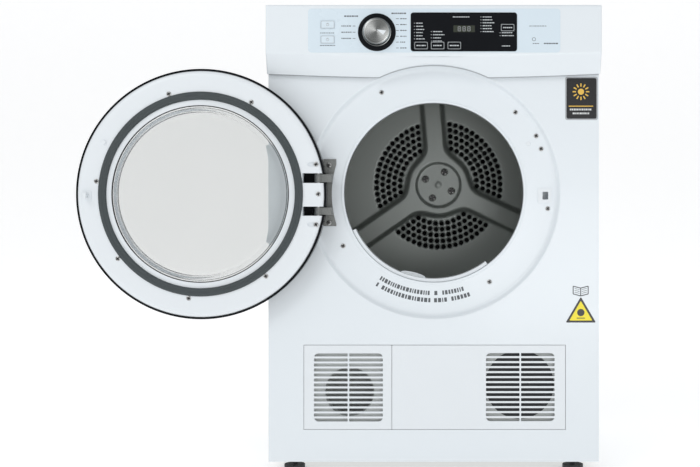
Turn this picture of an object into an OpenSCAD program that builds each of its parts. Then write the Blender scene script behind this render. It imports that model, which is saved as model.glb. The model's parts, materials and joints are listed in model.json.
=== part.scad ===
// Front-loading vented clothes dryer: cabinet, console, round glass door, drum, blower and drive.
// Frame: origin on the floor under the middle of the cabinet, +X to the viewer's right,
// the front faces -Y, +Z up. All sizes are in millimetres.

/* [Cabinet] */
// Width of the cabinet
body_w = 595; // [590:1:620]
// Depth of the cabinet behind the front skin
body_d = 540; // [536:1:560]
// Height of the top above the floor
body_h = 840; // [838:1:850]
// Height of the cabinet's underside above the floor
foot_h = 22; // [20:1:26]
// Sheet metal thickness
sheet = 1.2; // [0.8:0.1:1.4]

/* [Door opening] */
// Height of the middle of the round door recess
port_z = 506.5; // [500:0.5:510]
// Radius of the loading opening
port_r = 162; // [158:1:163]
// Radius of the recess at the front skin
recess_r = 228; // [226:1:230]
// Depth of the recess
recess_d = 9; // [8:0.5:9]

/* [Door] */
// Height of the middle of the door, which hangs a little low on its hinge
door_z = 503.5; // [502:0.5:506]
// Outer radius of the door
door_r = 222; // [220:1:222]
// Distance of the door's inner face from the recess floor
door_gap = 5; // [5:0.5:6]

/* [Drum] */
// Outer radius of the drum
drum_r = 265; // [255:1:265]
// Front edge of the drum
drum_front = -222; // [-222:1:-216]
// Rear face of the drum's back plate
drum_rear = 168; // [160:1:168]
// Radius of one air hole in the drum's back plate
air_hole_r = 4.4; // [3:0.1:5]

/* [Console] */
// Width of the control console
console_w = 598; // [596:1:602]
// How far the console stands out from the front skin
console_out = 30; // [28:1:32]
// Height of the console's lower edge
console_z = 718; // [716:1:722]

/* [Hidden] */
$fn = 96;
eps = 0.5;

// Cabinet planes
front_y = -body_d / 2;
rear_y = body_d / 2;
side_x = body_w / 2;
in_x = side_x - sheet;
skin_y = front_y + sheet;
top_t = 20;
wall_top = body_h - top_t;
flange = 15;
tray_t = 1.5;
tray_h = 30;

// Feet
foot_x = 255;
foot_y = 225;
pad_r = 19;
pad_h = 10;
stud_r = 4;
boss_h = 20;

// Recess, opening and throat
floor_y = front_y + recess_d;
recess_floor_r = recess_r - 6;
lip_d = 7;
throat_r = port_r + sheet + 0.2;
throat_t = 2.6;
throat_end = -224;
wall_y = [-231.5, -229.5];
filter_tilt = 14;

// Door planes and hinge, in the closed position
in_face = floor_y - door_gap;
out_face = in_face - 38;
hinge_x = -206;
hinge_y = in_face - 23;
arm_z = [[466.6, 479.7], [524.6, 538.8]];
slot_gap = 1.6;
slot_floor = hinge_y - 7.5;
frame_r = door_r - 3.6;
flat_r = door_r - 9;
gasket_r = [166.5, 181];
closed_angle = 180;
bracket_t = 2.6;
latch_at = [201, 501];
switch_at = [171, 595];

// Drum axis and felt seat
drum_x = 10;
drum_z = 527;
drum_t = 1.2;
felt_r = drum_r - drum_t - 0.4;
arm_w = 44;
boss_r = 67.5;
hub_r = 47;
hub_screw_r = 30.5;
arm_lift = 9;
first_arm = 94.7;
hole_rows = [82.5, 95, 107.5, 120, 132.5];
hole_pitch = 13;

// Lower service opening, covers and grilles
cover_z = [80, 232];
cover_x = [-233.8, -75.4, 237.2];
grille_pitch = 9;
grille_slot = 5.6;
grille_count = 14;
duct_at = [-152, 147];
mouth_r = 44;

// Blower, motor and belt
motor_x = 155;
motor_z = 160;
motor_r = 62;
scroll_r = 82;
duct_wall = 2;
scroll_y = [-232, -158];
belt_y = [17, 26];
belt_t = 3;
pulley_r = 8;
idler_x = 70;
idler_z = 150;
idler_r = 20;
pivot_x = 131;
pivot_z = 115;

// Console, fascia and controls
console_y = front_y - console_out;
crease_z = console_z + 34;
fascia_at = [1, 794];
fascia_size = [448, 78];
display_at = [53.5, 791.5];
display_size = [189, 69];
fascia_y = console_y - 0.4;
display_y = fascia_y - 0.8;
board_y = console_y + 16;
knob_at = [-101, 791];
knob_ring_r = 33.6;
knob_r = 25.5;
key_w = 25.5;
key_gap = 0.3;
// Each key: x, z, height, front face
power_pos = [-188.5, 804.5, 15.2, fascia_y - 1];
lock_pos = [-188.5, 778, 15.2, fascia_y - 1];
time_pos = [-22.5, 767.2, 15, display_y - 0.7];
option_pos = [7, 767.2, 15, display_y - 0.7];
temperature_pos = [36.5, 767.2, 15, display_y - 0.7];
start_pos = [131.2, 799, 14.5, display_y - 0.7];
all_keys = [power_pos, lock_pos, time_pos, option_pos, temperature_pos, start_pos];

// Screws: angle and radius about the recess middle, then plain x and z
recess_screws = [[117.5, 204], [44.5, 207], [-8, 208], [-58, 190], [210.5, 190]];
switch_screws = [[185, 609], [194, 585.5]];
bracket_screws = [[-189, 556], [-189, 452]];
door_screw_angles = [119, 72.4, 7, -38, -83.5, -128.5];
door_screw_r = 185.5;
hinge_side_screws = [[-204, 556], [-204, 449.5], [-208, 503.5]];
rear_screws = [for (x = [-280, 280], z = [110, 330, 550, 770]) [x, z]];
wall_holes = [for (x = [-200, 200], z = [560, 760]) [x, z]];

// ---- helpers ----

// Box between low and high corners
module box(x, y, z) {
    translate([x[0], y[0], z[0]])
        cube([x[1] - x[0], y[1] - y[0], z[1] - z[0]]);
}

// Outline in X and Z carried from y[0] to y[1]
module y_slab(y) {
    translate([0, y[1], 0])
        rotate([90, 0, 0])
            linear_extrude(y[1] - y[0]) children();
}

// Outline in Y and Z carried from x[0] to x[1]
module x_slab(x) {
    translate([x[0], 0, 0])
        rotate([90, 0, 90])
            linear_extrude(x[1] - x[0]) children();
}

// Round bar along Y
module y_rod(at, r, y) {
    translate([at[0], y[1], at[1]])
        rotate([90, 0, 0])
            cylinder(r = r, h = y[1] - y[0]);
}

// Profile of radius and y turned about a line along Y
module y_spin(at) {
    translate([at[0], 0, at[1]])
        rotate([-90, 0, 0])
            rotate_extrude() children();
}

// Tube along Y
module y_tube(at, r_in, r_out, y) {
    difference() {
        y_rod(at, r_out, y);
        y_rod(at, r_in, [y[0] - eps, y[1] + eps]);
    }
}

// Rounded rectangle around a middle point
module rounded(at, size, r) {
    translate(at) {
        square([size[0] - 2 * r, size[1]], center = true);
        square([size[0], size[1] - 2 * r], center = true);
        for (x = [-1, 1], z = [-1, 1])
            translate([x * (size[0] / 2 - r), z * (size[1] / 2 - r)]) circle(r = r, $fn = 32);
    }
}

// Point at an angle and radius about a middle
function polar(at, a, r) = [at[0] + r * cos(a), at[1] + r * sin(a)];
function recess_screw_points() = [for (s = recess_screws) polar([0, port_z], s[0], s[1])];
function door_screw_points() = concat(
    [for (a = door_screw_angles) polar([0, door_z], a, door_screw_r)], hinge_side_screws);

// Pan-head screw that points along +Y, with a cross recess
module screw(at, y, head_r, shank_r, long) {
    difference() {
        union() {
            y_rod(at, head_r, [y - 2.2, y]);
            if (long > 0) y_rod(at, shank_r, [y, y + long]);
        }
        for (turn = [0, 90])
            translate([at[0], y - 1.6, at[1]])
                rotate([0, turn + 20, 0]) cube([head_r * 1.2, 1.6, 1], center = true);
    }
}

// Places its children as on the open door: half a turn about the hinge line
module open_door() {
    translate([hinge_x, hinge_y, 0])
        rotate([0, 0, closed_angle])
            translate([-hinge_x, -hinge_y, 0]) children();
}

// Frame of the lint filter: local -Z runs out of the opening into the pocket
module filter_axes() {
    translate([0, 0, port_z])
        rotate([0, filter_tilt, 0]) children();
}

// ---- cabinet ----

module base_tray() {
    color("gainsboro") difference() {
        union() {
            difference() {
                box([-in_x, in_x], [skin_y, rear_y - sheet], [foot_h, foot_h + tray_h]);
                box([-in_x + tray_t, in_x - tray_t], [skin_y + tray_t, rear_y - sheet - tray_t],
                    [foot_h + tray_t, foot_h + tray_h + 1]);
            }
            for (x = [-foot_x, foot_x], y = [-foot_y, foot_y])
                translate([x, y, foot_h]) cylinder(r = 12, h = boss_h);
            box([motor_x - 50, motor_x + 50], [-120, -30], [foot_h, motor_z - 42]);
            idler_post();
        }
        y_rod([motor_x, motor_z], motor_r, [-130, -20]);
        for (x = [-foot_x, foot_x], y = [-foot_y, foot_y])
            translate([x, y, foot_h - 1]) cylinder(r = stud_r + 0.1, h = boss_h + 2);
    }
}

module idler_post() {
    box([pivot_x - 12, pivot_x + 12], [2, 10], [foot_h, pivot_z + 12]);
    y_rod([pivot_x, pivot_z], 4, [-9, 28]);
}

// One foot: pad on the floor and threaded stud
module foot(x, y, stud_top) {
    translate([x, y, 0]) {
        cylinder(r = pad_r, h = pad_h);
        cylinder(r = stud_r, h = stud_top);
    }
}

module rear_feet() {
    color("dimgray") for (x = [-foot_x, foot_x]) {
        foot(x, foot_y, foot_h + boss_h - 2);
        translate([x, foot_y, foot_h - 5]) cylinder(r = 8, h = 5);
    }
}

module front_foot_left() {
    color("dimgray") foot(-foot_x, -foot_y, foot_h + boss_h + 14);
}

module front_foot_right() {
    color("dimgray") foot(foot_x, -foot_y, foot_h + boss_h + 14);
}

// Side panel on the right; the left one is its mirror image
module side_panel() {
    box([in_x, side_x], [skin_y, rear_y], [foot_h, wall_top]);
    box([side_x - flange, in_x], [skin_y, skin_y + sheet], [foot_h + tray_h + 6, wall_top]);
    box([side_x - flange, in_x], [rear_y - 2 * sheet, rear_y - sheet],
        [foot_h + tray_h + 6, wall_top]);
    box([side_x - flange, in_x], [skin_y, rear_y - sheet], [wall_top - sheet, wall_top]);
}

module side_panel_right() {
    color("white") side_panel();
}

module side_panel_left() {
    color("white") mirror([1, 0, 0]) side_panel();
}

module rear_panel() {
    cord_at = [-240, 120];
    color("lightgray") difference() {
        union() {
            box([-in_x, in_x], [rear_y - sheet, rear_y], [foot_h, wall_top]);
            y_rod(cord_at, 15, [rear_y - 8, rear_y]);
        }
        y_rod(cord_at, 6, [rear_y - 9, rear_y + 1]);
        for (p = wall_holes)
            y_rod(p, 2.6, [rear_y - 3, rear_y + 1]);
        for (p = rear_screws)
            y_rod(p, 2.1, [rear_y - 3, rear_y + 1]);
        for (i = [0:9])
            box([-110, 130], [rear_y - 3, rear_y + 1], [150 + 16 * i, 156 + 16 * i]);
    }
}

module top_panel() {
    color("white") difference() {
        box([-side_x, side_x], [front_y, rear_y], [wall_top, body_h]);
        box([-in_x, in_x], [skin_y, rear_y - sheet], [wall_top - 1, body_h - sheet]);
    }
}

module recess_dish() {
    y_spin([0, port_z])
        polygon([
            [port_r, floor_y], [recess_floor_r, floor_y],
            [recess_r, front_y], [recess_r + 1.5, front_y],
            [recess_r + 1.5, skin_y], [recess_r + 0.6, skin_y],
            [recess_floor_r + 0.8, floor_y + sheet],
            [port_r + sheet, floor_y + sheet],
            [port_r + sheet, floor_y + lip_d], [port_r, floor_y + lip_d]
        ]);
}

module front_panel() {
    color("white") difference() {
        union() {
            difference() {
                box([-side_x, side_x], [front_y, skin_y], [foot_h, wall_top]);
                y_rod([0, port_z], recess_r + 0.6, [front_y - 1, skin_y + 1]);
                box([cover_x[0], cover_x[2]], [front_y - 1, skin_y + 1], cover_z);
                box([-225, 225], [front_y - 1, skin_y + 1], [752, 812]);
            }
            recess_dish();
        }
        for (p = recess_screw_points())
            y_rod(p, 2.1, [floor_y - 1, floor_y + 3]);
        for (p = concat(switch_screws, bracket_screws))
            y_rod(p, 2.1, [floor_y - 1, floor_y + 3]);
        y_rod(switch_at, 5, [floor_y - 1, floor_y + 3]);
        box([latch_at[0] - 11.5, latch_at[0] + 11.5], [floor_y - 1, floor_y + 3],
            [latch_at[1] - 12.5, latch_at[1] + 12.5]);
    }
}

module service_plate() {
    out = 2.2;
    color("gray") difference() {
        box([cover_x[0] - out, cover_x[2] + out], [skin_y, front_y + 9.2],
            [cover_z[0] - out, cover_z[1] + out]);
        box([cover_x[0] - 1, cover_x[2] + 1], [skin_y - 1, front_y + 8],
            [cover_z[0] - 1, cover_z[1] + 1]);
        y_rod(duct_at, mouth_r, [front_y, front_y + 12]);
        y_rod([motor_x, motor_z], motor_r, [front_y, front_y + 12]);
    }
}

// Slots of one grille, between x[0] and x[1], with a middle bar
module grille_slots(x, z0) {
    mid = (x[0] + x[1]) / 2;
    high = (grille_count - 1) * grille_pitch + grille_slot;
    y_slab([front_y - 3, front_y + 5]) intersection() {
        rounded([mid, z0 + high / 2], [x[1] - x[0], high], 8);
        for (i = [0:grille_count - 1], side = [0, 1])
            translate([side == 0 ? x[0] : mid + 1.35, z0 + i * grille_pitch])
                square([mid - 1.35 - x[0], grille_slot]);
    }
}

module cover_plate(x) {
    gap = 0.4;
    y_slab([front_y - 0.4, front_y + 2.1])
        translate([x[0] + gap, cover_z[0] + gap])
            square([x[1] - x[0] - 2 * gap, cover_z[1] - cover_z[0] - 2 * gap]);
    for (px = [x[0] + 9, x[1] - 9], pz = [cover_z[0] + 7, cover_z[1] - 7])
        y_rod([px, pz], 3, [front_y + 2.1, front_y + 8]);
}

module vent_cover_left() {
    color("whitesmoke") difference() {
        cover_plate([cover_x[0], cover_x[1]]);
        grille_slots([-215.5, -91.6], 94.4);
    }
}

module vent_cover_right() {
    color("whitesmoke") difference() {
        cover_plate([cover_x[1], cover_x[2]]);
        grille_slots([94, 217.6], 95);
    }
}

// ---- console ----

module console_profile(in) {
    polygon([
        [front_y + (in > 0 ? 1 : 0), console_z + in], [front_y - 11 + in * 0.6, console_z + in],
        [console_y + in, crease_z + in * 0.3], [console_y + in, body_h - 4 - in * 0.4],
        [console_y + 4 + in * 0.4, body_h - in], [front_y + (in > 0 ? 1 : 0), body_h - in]
    ]);
}

module console_shell() {
    wall = 2.5;
    half = console_w / 2;
    color("white") difference() {
        x_slab([-half, half]) console_profile(0);
        x_slab([-half + wall, half - wall]) console_profile(wall);
        y_rod([0, port_z], recess_r + 0.5, [console_y - 1, front_y + 1]);
        y_slab([console_y - 1, console_y + 4])
            rounded(fascia_at, fascia_size + [0.4, 0.4], 6.2);
    }
}

module key_holes(y) {
    for (k = all_keys)
        y_slab(y) rounded([k[0], k[1]], [key_w, k[2]], 2);
}

module fascia() {
    back = console_y + 4;
    color("aliceblue") difference() {
        union() {
            y_slab([fascia_y, console_y + 2.5]) rounded(fascia_at, fascia_size, 6);
            y_slab([console_y + 2.5, back]) rounded(fascia_at, fascia_size + [8, 2], 6);
            for (x = [-205, 205], z = [764, 824])
                y_rod([x, z], 4, [back, board_y]);
        }
        key_holes([fascia_y - 1, back + 1]);
        y_rod(knob_at, 3.6, [fascia_y - 1, back + 1]);
    }
}

module display_window() {
    color("#15191c") difference() {
        y_slab([display_y, fascia_y]) rounded(display_at, display_size, 5);
        key_holes([display_y - 1, fascia_y + 1]);
    }
}

module control_board() {
    color("darkgreen") difference() {
        union() {
            y_slab([board_y, board_y + 1.6]) rounded([0, 794], [424, 70], 2);
            for (k = all_keys)
                box([k[0] - 3, k[0] + 3], [board_y - 4, board_y], [k[1] - 3, k[1] + 3]);
            box([knob_at[0] - 7, knob_at[0] + 7], [board_y - 7, board_y],
                [knob_at[1] - 7, knob_at[1] + 7]);
            box([33, 75], [board_y - 10, board_y], [786, 808]);
        }
        y_rod(knob_at, 3.1, [board_y - 8, board_y - 1.5]);
    }
}

module knob_bezel() {
    color("black") y_tube(knob_at, 3.6, knob_ring_r, [fascia_y - 2, fascia_y]);
}

module knob() {
    base = fascia_y - 2.3;
    color("silver") difference() {
        union() {
            y_spin(knob_at)
                polygon([
                    [0, base - 17], [20, base - 17], [21.5, base - 16],
                    [22.5, base - 4], [knob_r, base - 3], [knob_r, base], [0, base]
                ]);
            y_rod(knob_at, 3, [base, board_y - 3]);
        }
        translate([knob_at[0] + 11, base - 17, knob_at[1]]) cube([16, 1, 2], center = true);
    }
}

// One push key: cap, captured flange and stem
module key(k) {
    rear = console_y + 4.3;
    y_slab([k[3], rear]) rounded([k[0], k[1]], [key_w - 2 * key_gap, k[2] - 2 * key_gap], 2);
    y_slab([rear, rear + 1.5]) rounded([k[0], k[1]], [key_w + 3, k[2] + 3], 2);
    y_rod([k[0], k[1]], 2, [rear + 1.5, board_y - 5.2]);
}

module power_key() {
    color("ghostwhite") key(power_pos);
}

module child_lock_key() {
    color("ghostwhite") key(lock_pos);
}

module time_key() {
    color("#1c2023") key(time_pos);
}

module option_key() {
    color("#1c2023") key(option_pos);
}

module temperature_key() {
    color("#1c2023") key(temperature_pos);
}

module start_key() {
    color("#1c2023") key(start_pos);
}

// ---- opening, filter and drum seat ----

module front_bulkhead() {
    color("silver") difference() {
        union() {
            box([-in_x, in_x], wall_y, [250, wall_top - sheet]);
            y_rod([0, port_z], throat_r + throat_t, [floor_y + sheet, throat_end]);
            y_tube([drum_x, drum_z], felt_r - 9, felt_r - 5.4, [wall_y[0], -206]);
        }
        y_rod([0, port_z], throat_r, [floor_y, throat_end + 1]);
        filter_axes() box([-112.8, 112.8], [-252.8, -233.2], [-190, -60]);
    }
}

module felt_seal() {
    color("tan") y_tube([drum_x, drum_z], felt_r - 5.4, felt_r, [-224, -208]);
}

// Inner or outer shape of the passage from the filter pocket to the blower
module lint_passage(in) {
    y = [-254.5 + in, scroll_y[0] - in];
    filter_axes() box([-62 + in, 62 - in], y, [-310 + in, -257]);
    box([-100 + in, motor_x + 62 - in], y, [121 + in, 205 - in]);
    y_rod([motor_x, motor_z], 64 - in, y);
}

module filter_housing() {
    color("#3a3d40") difference() {
        union() {
            filter_axes() box([-116, 116], [-254.5, scroll_y[0] + 0.5], [-262, -60]);
            lint_passage(0);
            y_rod([motor_x, motor_z], motor_r - 0.5, [front_y + 8, -254]);
        }
        y_rod([0, port_z], throat_r + throat_t, [-260, -220]);
        filter_axes() box([-112.2, 112.2], [-252.6, -233.4], [-258, -40]);
        lint_passage(duct_wall);
        y_rod([motor_x, motor_z], 45, [-240, -231]);
    }
}

// Outline of a band between two radii, spanning half an angle each side of straight down
module arc_band(r_in, r_out, half) {
    intersection() {
        difference() {
            circle(r = r_out);
            circle(r = r_in);
        }
        polygon([[0, 0], [-2 * r_out * sin(half), -2 * r_out * cos(half)], [0, -3 * r_out],
            [2 * r_out * sin(half), -2 * r_out * cos(half)]]);
    }
}

module filter_frame() {
    color("whitesmoke") filter_axes() {
        difference() {
            box([-111.5, 111.5], [-252, -234], [-250, -60]);
            y_rod([0, 0], 160, [-260, -220]);
            box([-103, 103], [-260, -220], [-242, -168]);
        }
        y_slab([-257, -229]) arc_band(156, 161.6, 51);
        y_slab([-240, -229]) arc_band(150, 157, 8);
    }
}

module filter_mesh() {
    color("lightsteelblue") filter_axes()
        for (y = [-250.5, -236.5])
            box([-103, 103], [y, y + 1], [-242, -168]);
}

// ---- drum ----

module drum_shell() {
    color("silver") y_tube([drum_x, drum_z], drum_r - drum_t, drum_r, [drum_front, drum_rear]);
}

// Outline of the three raised arms and the boss
module spider_2d() {
    circle(r = boss_r);
    for (i = [0:2])
        rotate(first_arm + 120 * i)
            translate([0, -arm_w / 2]) square([drum_r - drum_t - 2, arm_w]);
}

// Air holes of one sector in staggered rows; a hole keeps its distance from both arms
module sector_holes_2d(middle) {
    keep = arm_w / 2 + 9;
    for (row = [0:len(hole_rows) - 1]) {
        r = hole_rows[row];
        half = 60 - asin(keep / r);
        step = hole_pitch / r * 57.3;
        count = floor(2 * half / step);
        for (i = [0:count])
            rotate(middle + (i - count / 2) * step) translate([r, 0]) circle(r = air_hole_r, $fn = 16);
    }
}

module drum_back() {
    plate = [drum_rear - 1.5, drum_rear];
    color("darkgray") translate([drum_x, 0, drum_z]) {
        difference() {
            union() {
                y_slab(plate) difference() {
                    circle(r = drum_r - drum_t);
                    for (i = [0:2])
                        sector_holes_2d(first_arm + 60 + 120 * i);
                }
                y_slab([plate[0] - arm_lift, plate[0]]) spider_2d();
            }
            y_rod([0, 0], hub_r, [plate[0] - arm_lift - 1, plate[0] - 4]);
        }
    }
}

module lifter_2d() {
    polygon([[-26, 0], [-9, -52], [-5, -56], [5, -56], [9, -52], [26, 0]]);
}

module drum_lifters() {
    color("lightgray") translate([drum_x, 0, drum_z])
        for (i = [0:2])
            rotate([0, 120 * i, 0])
                intersection() {
                    translate([0, 0, drum_r - 4]) y_slab([-170, 120]) lifter_2d();
                    y_rod([0, 0], drum_r - drum_t, [-180, 130]);
                }
}

module drum_shaft() {
    at = [drum_x, drum_z];
    color("slategray") {
        y_rod(at, 42, [drum_rear, drum_rear + 4]);
        y_rod(at, 9, [drum_rear + 4, 220]);
        y_rod(at, 12, [215, 217]);
    }
}

module hub_screws() {
    face = drum_rear - 1.5 - 4;
    color("dimgray") for (i = [0:3])
        screw(polar([drum_x, drum_z], 65.5 + 90 * i, hub_screw_r), face, 8, 2.5, 0);
}

module rear_bulkhead() {
    at = [drum_x, drum_z];
    color("silver") difference() {
        union() {
            box([-in_x, in_x], [200, 201.5], [250, wall_top - sheet]);
            y_rod(at, 28, [188, 214]);
            y_tube(at, 154, 156, [drum_rear + 2.5, 200]);
        }
        y_rod(at, 20, [187, 215]);
        for (i = [0:23])
            y_rod(polar(at, 15 * i, 110), 9, [190, 205]);
    }
}

module rear_bearing() {
    color("goldenrod") y_tube([drum_x, drum_z], 9.1, 20, [188, 214]);
}

module heater_duct() {
    color("lightgray") difference() {
        box([-130, 150], [201.5, 258], [262, 700]);
        box([-128.5, 148.5], [201, 256.5], [261, 698.5]);
    }
}

module heater_coil() {
    color("darkorange") {
        for (r = [50, 80, 110])
            translate([drum_x, 237, drum_z])
                rotate([90, 0, 0]) rotate_extrude() translate([r, 0]) circle(r = 4, $fn = 24);
        for (z = [-1.5, 1.5])
            box([-128.5, 148.5], [235, 239], [drum_z + 34 * z - 3, drum_z + 34 * z + 3]);
    }
}

// ---- blower and drive ----

module blower_housing() {
    axis = [motor_x, motor_z];
    duct_z = [96, 198];
    color("gainsboro") difference() {
        union() {
            y_rod(axis, scroll_r, scroll_y);
            box([-205, motor_x], scroll_y, duct_z);
            y_rod(duct_at, mouth_r + 2.5, [front_y + 9.2, scroll_y[0]]);
        }
        y_rod(axis, scroll_r - 3, [scroll_y[0] + 3, scroll_y[1] - 3]);
        box([-202, motor_x], [scroll_y[0] + 3, scroll_y[1] - 3], [duct_z[0] + 3, duct_z[1] - 3]);
        y_rod(duct_at, mouth_r, [front_y, scroll_y[0] + 5]);
        y_rod(axis, 45, [scroll_y[0] - 1, scroll_y[0] + 5]);
        y_rod(axis, 8, [scroll_y[1] - 5, scroll_y[1] + 1]);
    }
}

module impeller() {
    axis = [motor_x, motor_z];
    color("#26282b") difference() {
        union() {
            y_rod(axis, 12, [-215, -170]);
            y_rod(axis, 60, [-174, -170]);
            y_tube(axis, 50, 60, [-224, -222]);
            for (i = [0:17])
                translate([motor_x, 0, motor_z])
                    rotate([0, 20 * i, 0]) box([36, 59.5], [-222, -173], [-0.8, 0.8]);
        }
        y_rod(axis, 6, [-230, -160]);
    }
}

module motor_housing() {
    axis = [motor_x, motor_z];
    color("slategray") difference() {
        y_rod(axis, motor_r, [-130, -20]);
        y_rod(axis, 33, [-120, -30]);
        y_rod(axis, 6.1, [-131, -19]);
    }
}

module motor_rotor() {
    axis = [motor_x, motor_z];
    color("lightslategray") {
        y_rod(axis, 6, [-225, 30]);
        y_rod(axis, 32, [-115, -35]);
        y_rod(axis, pulley_r, [15, 28]);
        y_rod(axis, 10.5, [13, 15]);
        y_rod(axis, 10.5, [28, 30]);
    }
}

// Outline round the drum, the motor pulley and the idler pulley, grown by a distance
module belt_2d(grow) {
    hull() {
        translate([drum_x, drum_z]) circle(r = drum_r + 0.6 + grow);
        translate([motor_x, motor_z]) circle(r = pulley_r + 0.4 + grow, $fn = 32);
        translate([idler_x, idler_z]) circle(r = idler_r + 0.5 + grow, $fn = 48);
    }
}

module drive_belt() {
    color("#202020") y_slab(belt_y) difference() {
        belt_2d(belt_t);
        belt_2d(0);
    }
}

module idler_arm() {
    reach = norm([pivot_x - idler_x, pivot_z - idler_z]);
    color("slategray") difference() {
        union() {
            y_rod([pivot_x, pivot_z], 10, [10.3, 15.7]);
            y_rod([idler_x, idler_z], 8, [11.7, 15.7]);
            y_rod([idler_x, idler_z], 3, [15.7, 29]);
            translate([pivot_x, 0, pivot_z])
                rotate([0, atan2(idler_z - pivot_z, pivot_x - idler_x), 0])
                    box([-reach, 0], [11.7, 15.7], [-7, 7]);
        }
        y_rod([pivot_x, pivot_z], 4.1, [9, 17]);
    }
}

module idler_pulley() {
    color("dimgray") y_tube([idler_x, idler_z], 3.1, idler_r, [16.5, 27]);
}

// Torsion spring on the pivot, with its short leg against the post
module idler_spring() {
    color("silver") {
        for (i = [0:3])
            translate([pivot_x, -7 + 1.9 * i, pivot_z])
                rotate([90, 0, 0]) rotate_extrude() translate([5.2, 0]) circle(r = 1, $fn = 16);
        y_rod([pivot_x + 5.2, pivot_z], 1, [-7, 2]);
    }
}

// ---- door and hinge, drawn closed and placed open ----

module hinge_slots() {
    for (z = arm_z)
        box([hinge_x - 18, hinge_x + 26], [slot_floor, in_face + 5], [z[0] - slot_gap, z[1] + slot_gap]);
}

module hinge_bracket() {
    color("gray") difference() {
        union() {
            difference() {
                box([hinge_x + 7, hinge_x + 30], [floor_y - bracket_t, floor_y], [446, 567]);
                y_rod([0, door_z], gasket_r[1] + 3, [floor_y - 4, floor_y + 1]);
            }
            for (z = arm_z) {
                box([hinge_x + 18, hinge_x + 24], [hinge_y - 4, floor_y - bracket_t], z);
                box([hinge_x, hinge_x + 24], [hinge_y - 4, hinge_y + 4], z);
                translate([hinge_x, hinge_y, z[0]]) cylinder(r = 7, h = z[1] - z[0]);
            }
        }
        for (z = arm_z)
            translate([hinge_x, hinge_y, z[0] - 1]) cylinder(r = 3.08, h = z[1] - z[0] + 2);
        for (p = bracket_screws)
            y_rod(p, 2.1, [floor_y - 4, floor_y + 1]);
    }
}

module hinge_pins() {
    color("lightsteelblue") open_door()
        for (z = arm_z)
            translate([hinge_x, hinge_y, z[0] - 5]) cylinder(r = 3, h = z[1] - z[0] + 10);
}

module door_frame() {
    depth = in_face - 26;
    color("white") open_door() difference() {
        union() {
            y_spin([0, door_z])
                polygon([
                    [156.5, in_face + 3.8], [166, in_face], [flat_r, in_face],
                    [frame_r, in_face - 3], [frame_r, depth], [frame_r - 3, depth],
                    [frame_r - 3, in_face - 5], [flat_r - 1, in_face - 3], [169, in_face - 3],
                    [169, depth], [166, depth], [166, in_face - 4], [156.5, in_face - 4]
                ]);
            intersection() {
                y_tube([0, door_z], 168, frame_r, [in_face - 34, in_face - 2.9]);
                box([hinge_x - 18, hinge_x + 30], [out_face, in_face], [450, 562]);
            }
            y_rod(switch_at, 4, [in_face - 1, in_face + 3.2]);
        }
        hinge_slots();
        for (z = arm_z)
            translate([hinge_x, hinge_y, z[0] - 5]) cylinder(r = 3, h = z[1] - z[0] + 10);
        for (p = door_screw_points())
            y_rod(p, 1.8, [in_face - 8, in_face + 1]);
    }
}

module door_outer_ring() {
    notch = [-42, 42];
    color("#101214") open_door() difference() {
        union() {
            y_spin([0, door_z])
                polygon([
                    [frame_r, in_face - 3.2], [door_r, in_face - 5.2], [door_r, out_face + 3],
                    [door_r - 3, out_face], [152, out_face], [152, out_face + 2.5],
                    [162, out_face + 2.5], [162, out_face + 8], [165, out_face + 8],
                    [165, out_face + 3], [frame_r, out_face + 3]
                ]);
            intersection() {
                y_rod([0, door_z], door_r - 1, [out_face + 2, out_face + 11]);
                box([202, 222], [out_face + 2, out_face + 11], door_z * [1, 1] + notch * 1.1);
            }
        }
        box([206, 230], [out_face - 1, out_face + 8.5], door_z * [1, 1] + notch);
        hinge_slots();
    }
}

module door_window() {
    color("lightblue", 0.4) open_door()
        y_rod([0, door_z], 161.5, [out_face + 2.5, out_face + 6]);
}

module glass_bowl() {
    rim = in_face - 4;
    color("lightcyan", 0.4) open_door() y_spin([0, door_z])
        polygon([
            [166, rim], [156, rim], [146, rim + 29], [141, rim + 34], [0, rim + 34],
            [0, rim + 29], [138.5, rim + 29], [141.5, rim + 26], [150, rim - 1],
            [150, rim - 5], [166, rim - 5]
        ]);
}

module door_gasket() {
    color("#4a4f53") open_door() y_spin([0, door_z])
        polygon([
            [gasket_r[0], in_face], [gasket_r[1], in_face], [gasket_r[1], in_face + 2.5],
            [176, in_face + 4.6], [171, in_face + 4.6], [gasket_r[0], in_face + 2]
        ]);
}

module door_striker() {
    x = latch_at[0];
    z = latch_at[1];
    color("silver") open_door() difference() {
        union() {
            box([x - 8, x + 8], [in_face, in_face + 1.2], [z - 8, z + 8]);
            box([x - 3, x + 3], [in_face + 1.2, in_face + 18], [z - 5, z + 5]);
        }
        box([x - 4, x + 4], [in_face + 4, in_face + 15], [z - 2.5, z + 2.5]);
    }
}

// Heads stand just proud of the door's inner face and the shanks run inwards
module door_screws() {
    color("gray") open_door()
        for (p = door_screw_points()) {
            y_rod(p, 4, [in_face, in_face + 0.6]);
            y_rod(p, 1.8, [in_face - 7, in_face]);
        }
}

module latch_housing() {
    x = latch_at[0];
    z = latch_at[1];
    color("whitesmoke") difference() {
        union() {
            box([x - 13, x + 12], [floor_y - 1, floor_y], [z - 13.5, z + 13.5]);
            box([x - 11, x + 11], [floor_y, floor_y + 3], [z - 12, z + 12]);
            box([x - 18, x + 12], [floor_y + sheet, -232], [z - 13, z + 13]);
        }
        box([x - 7, x + 8], [floor_y - 2, -240], [z - 9, z + 9]);
        box([x - 14, x], [-256.5, -245.5], [z - 6.5, z + 6.5]);
    }
}

module latch_jaw() {
    x = latch_at[0];
    z = latch_at[1];
    color("lightgray") box([x - 10, x - 3.4], [-256.2, -245.8], [z - 6.2, z + 6.2]);
}

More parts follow.
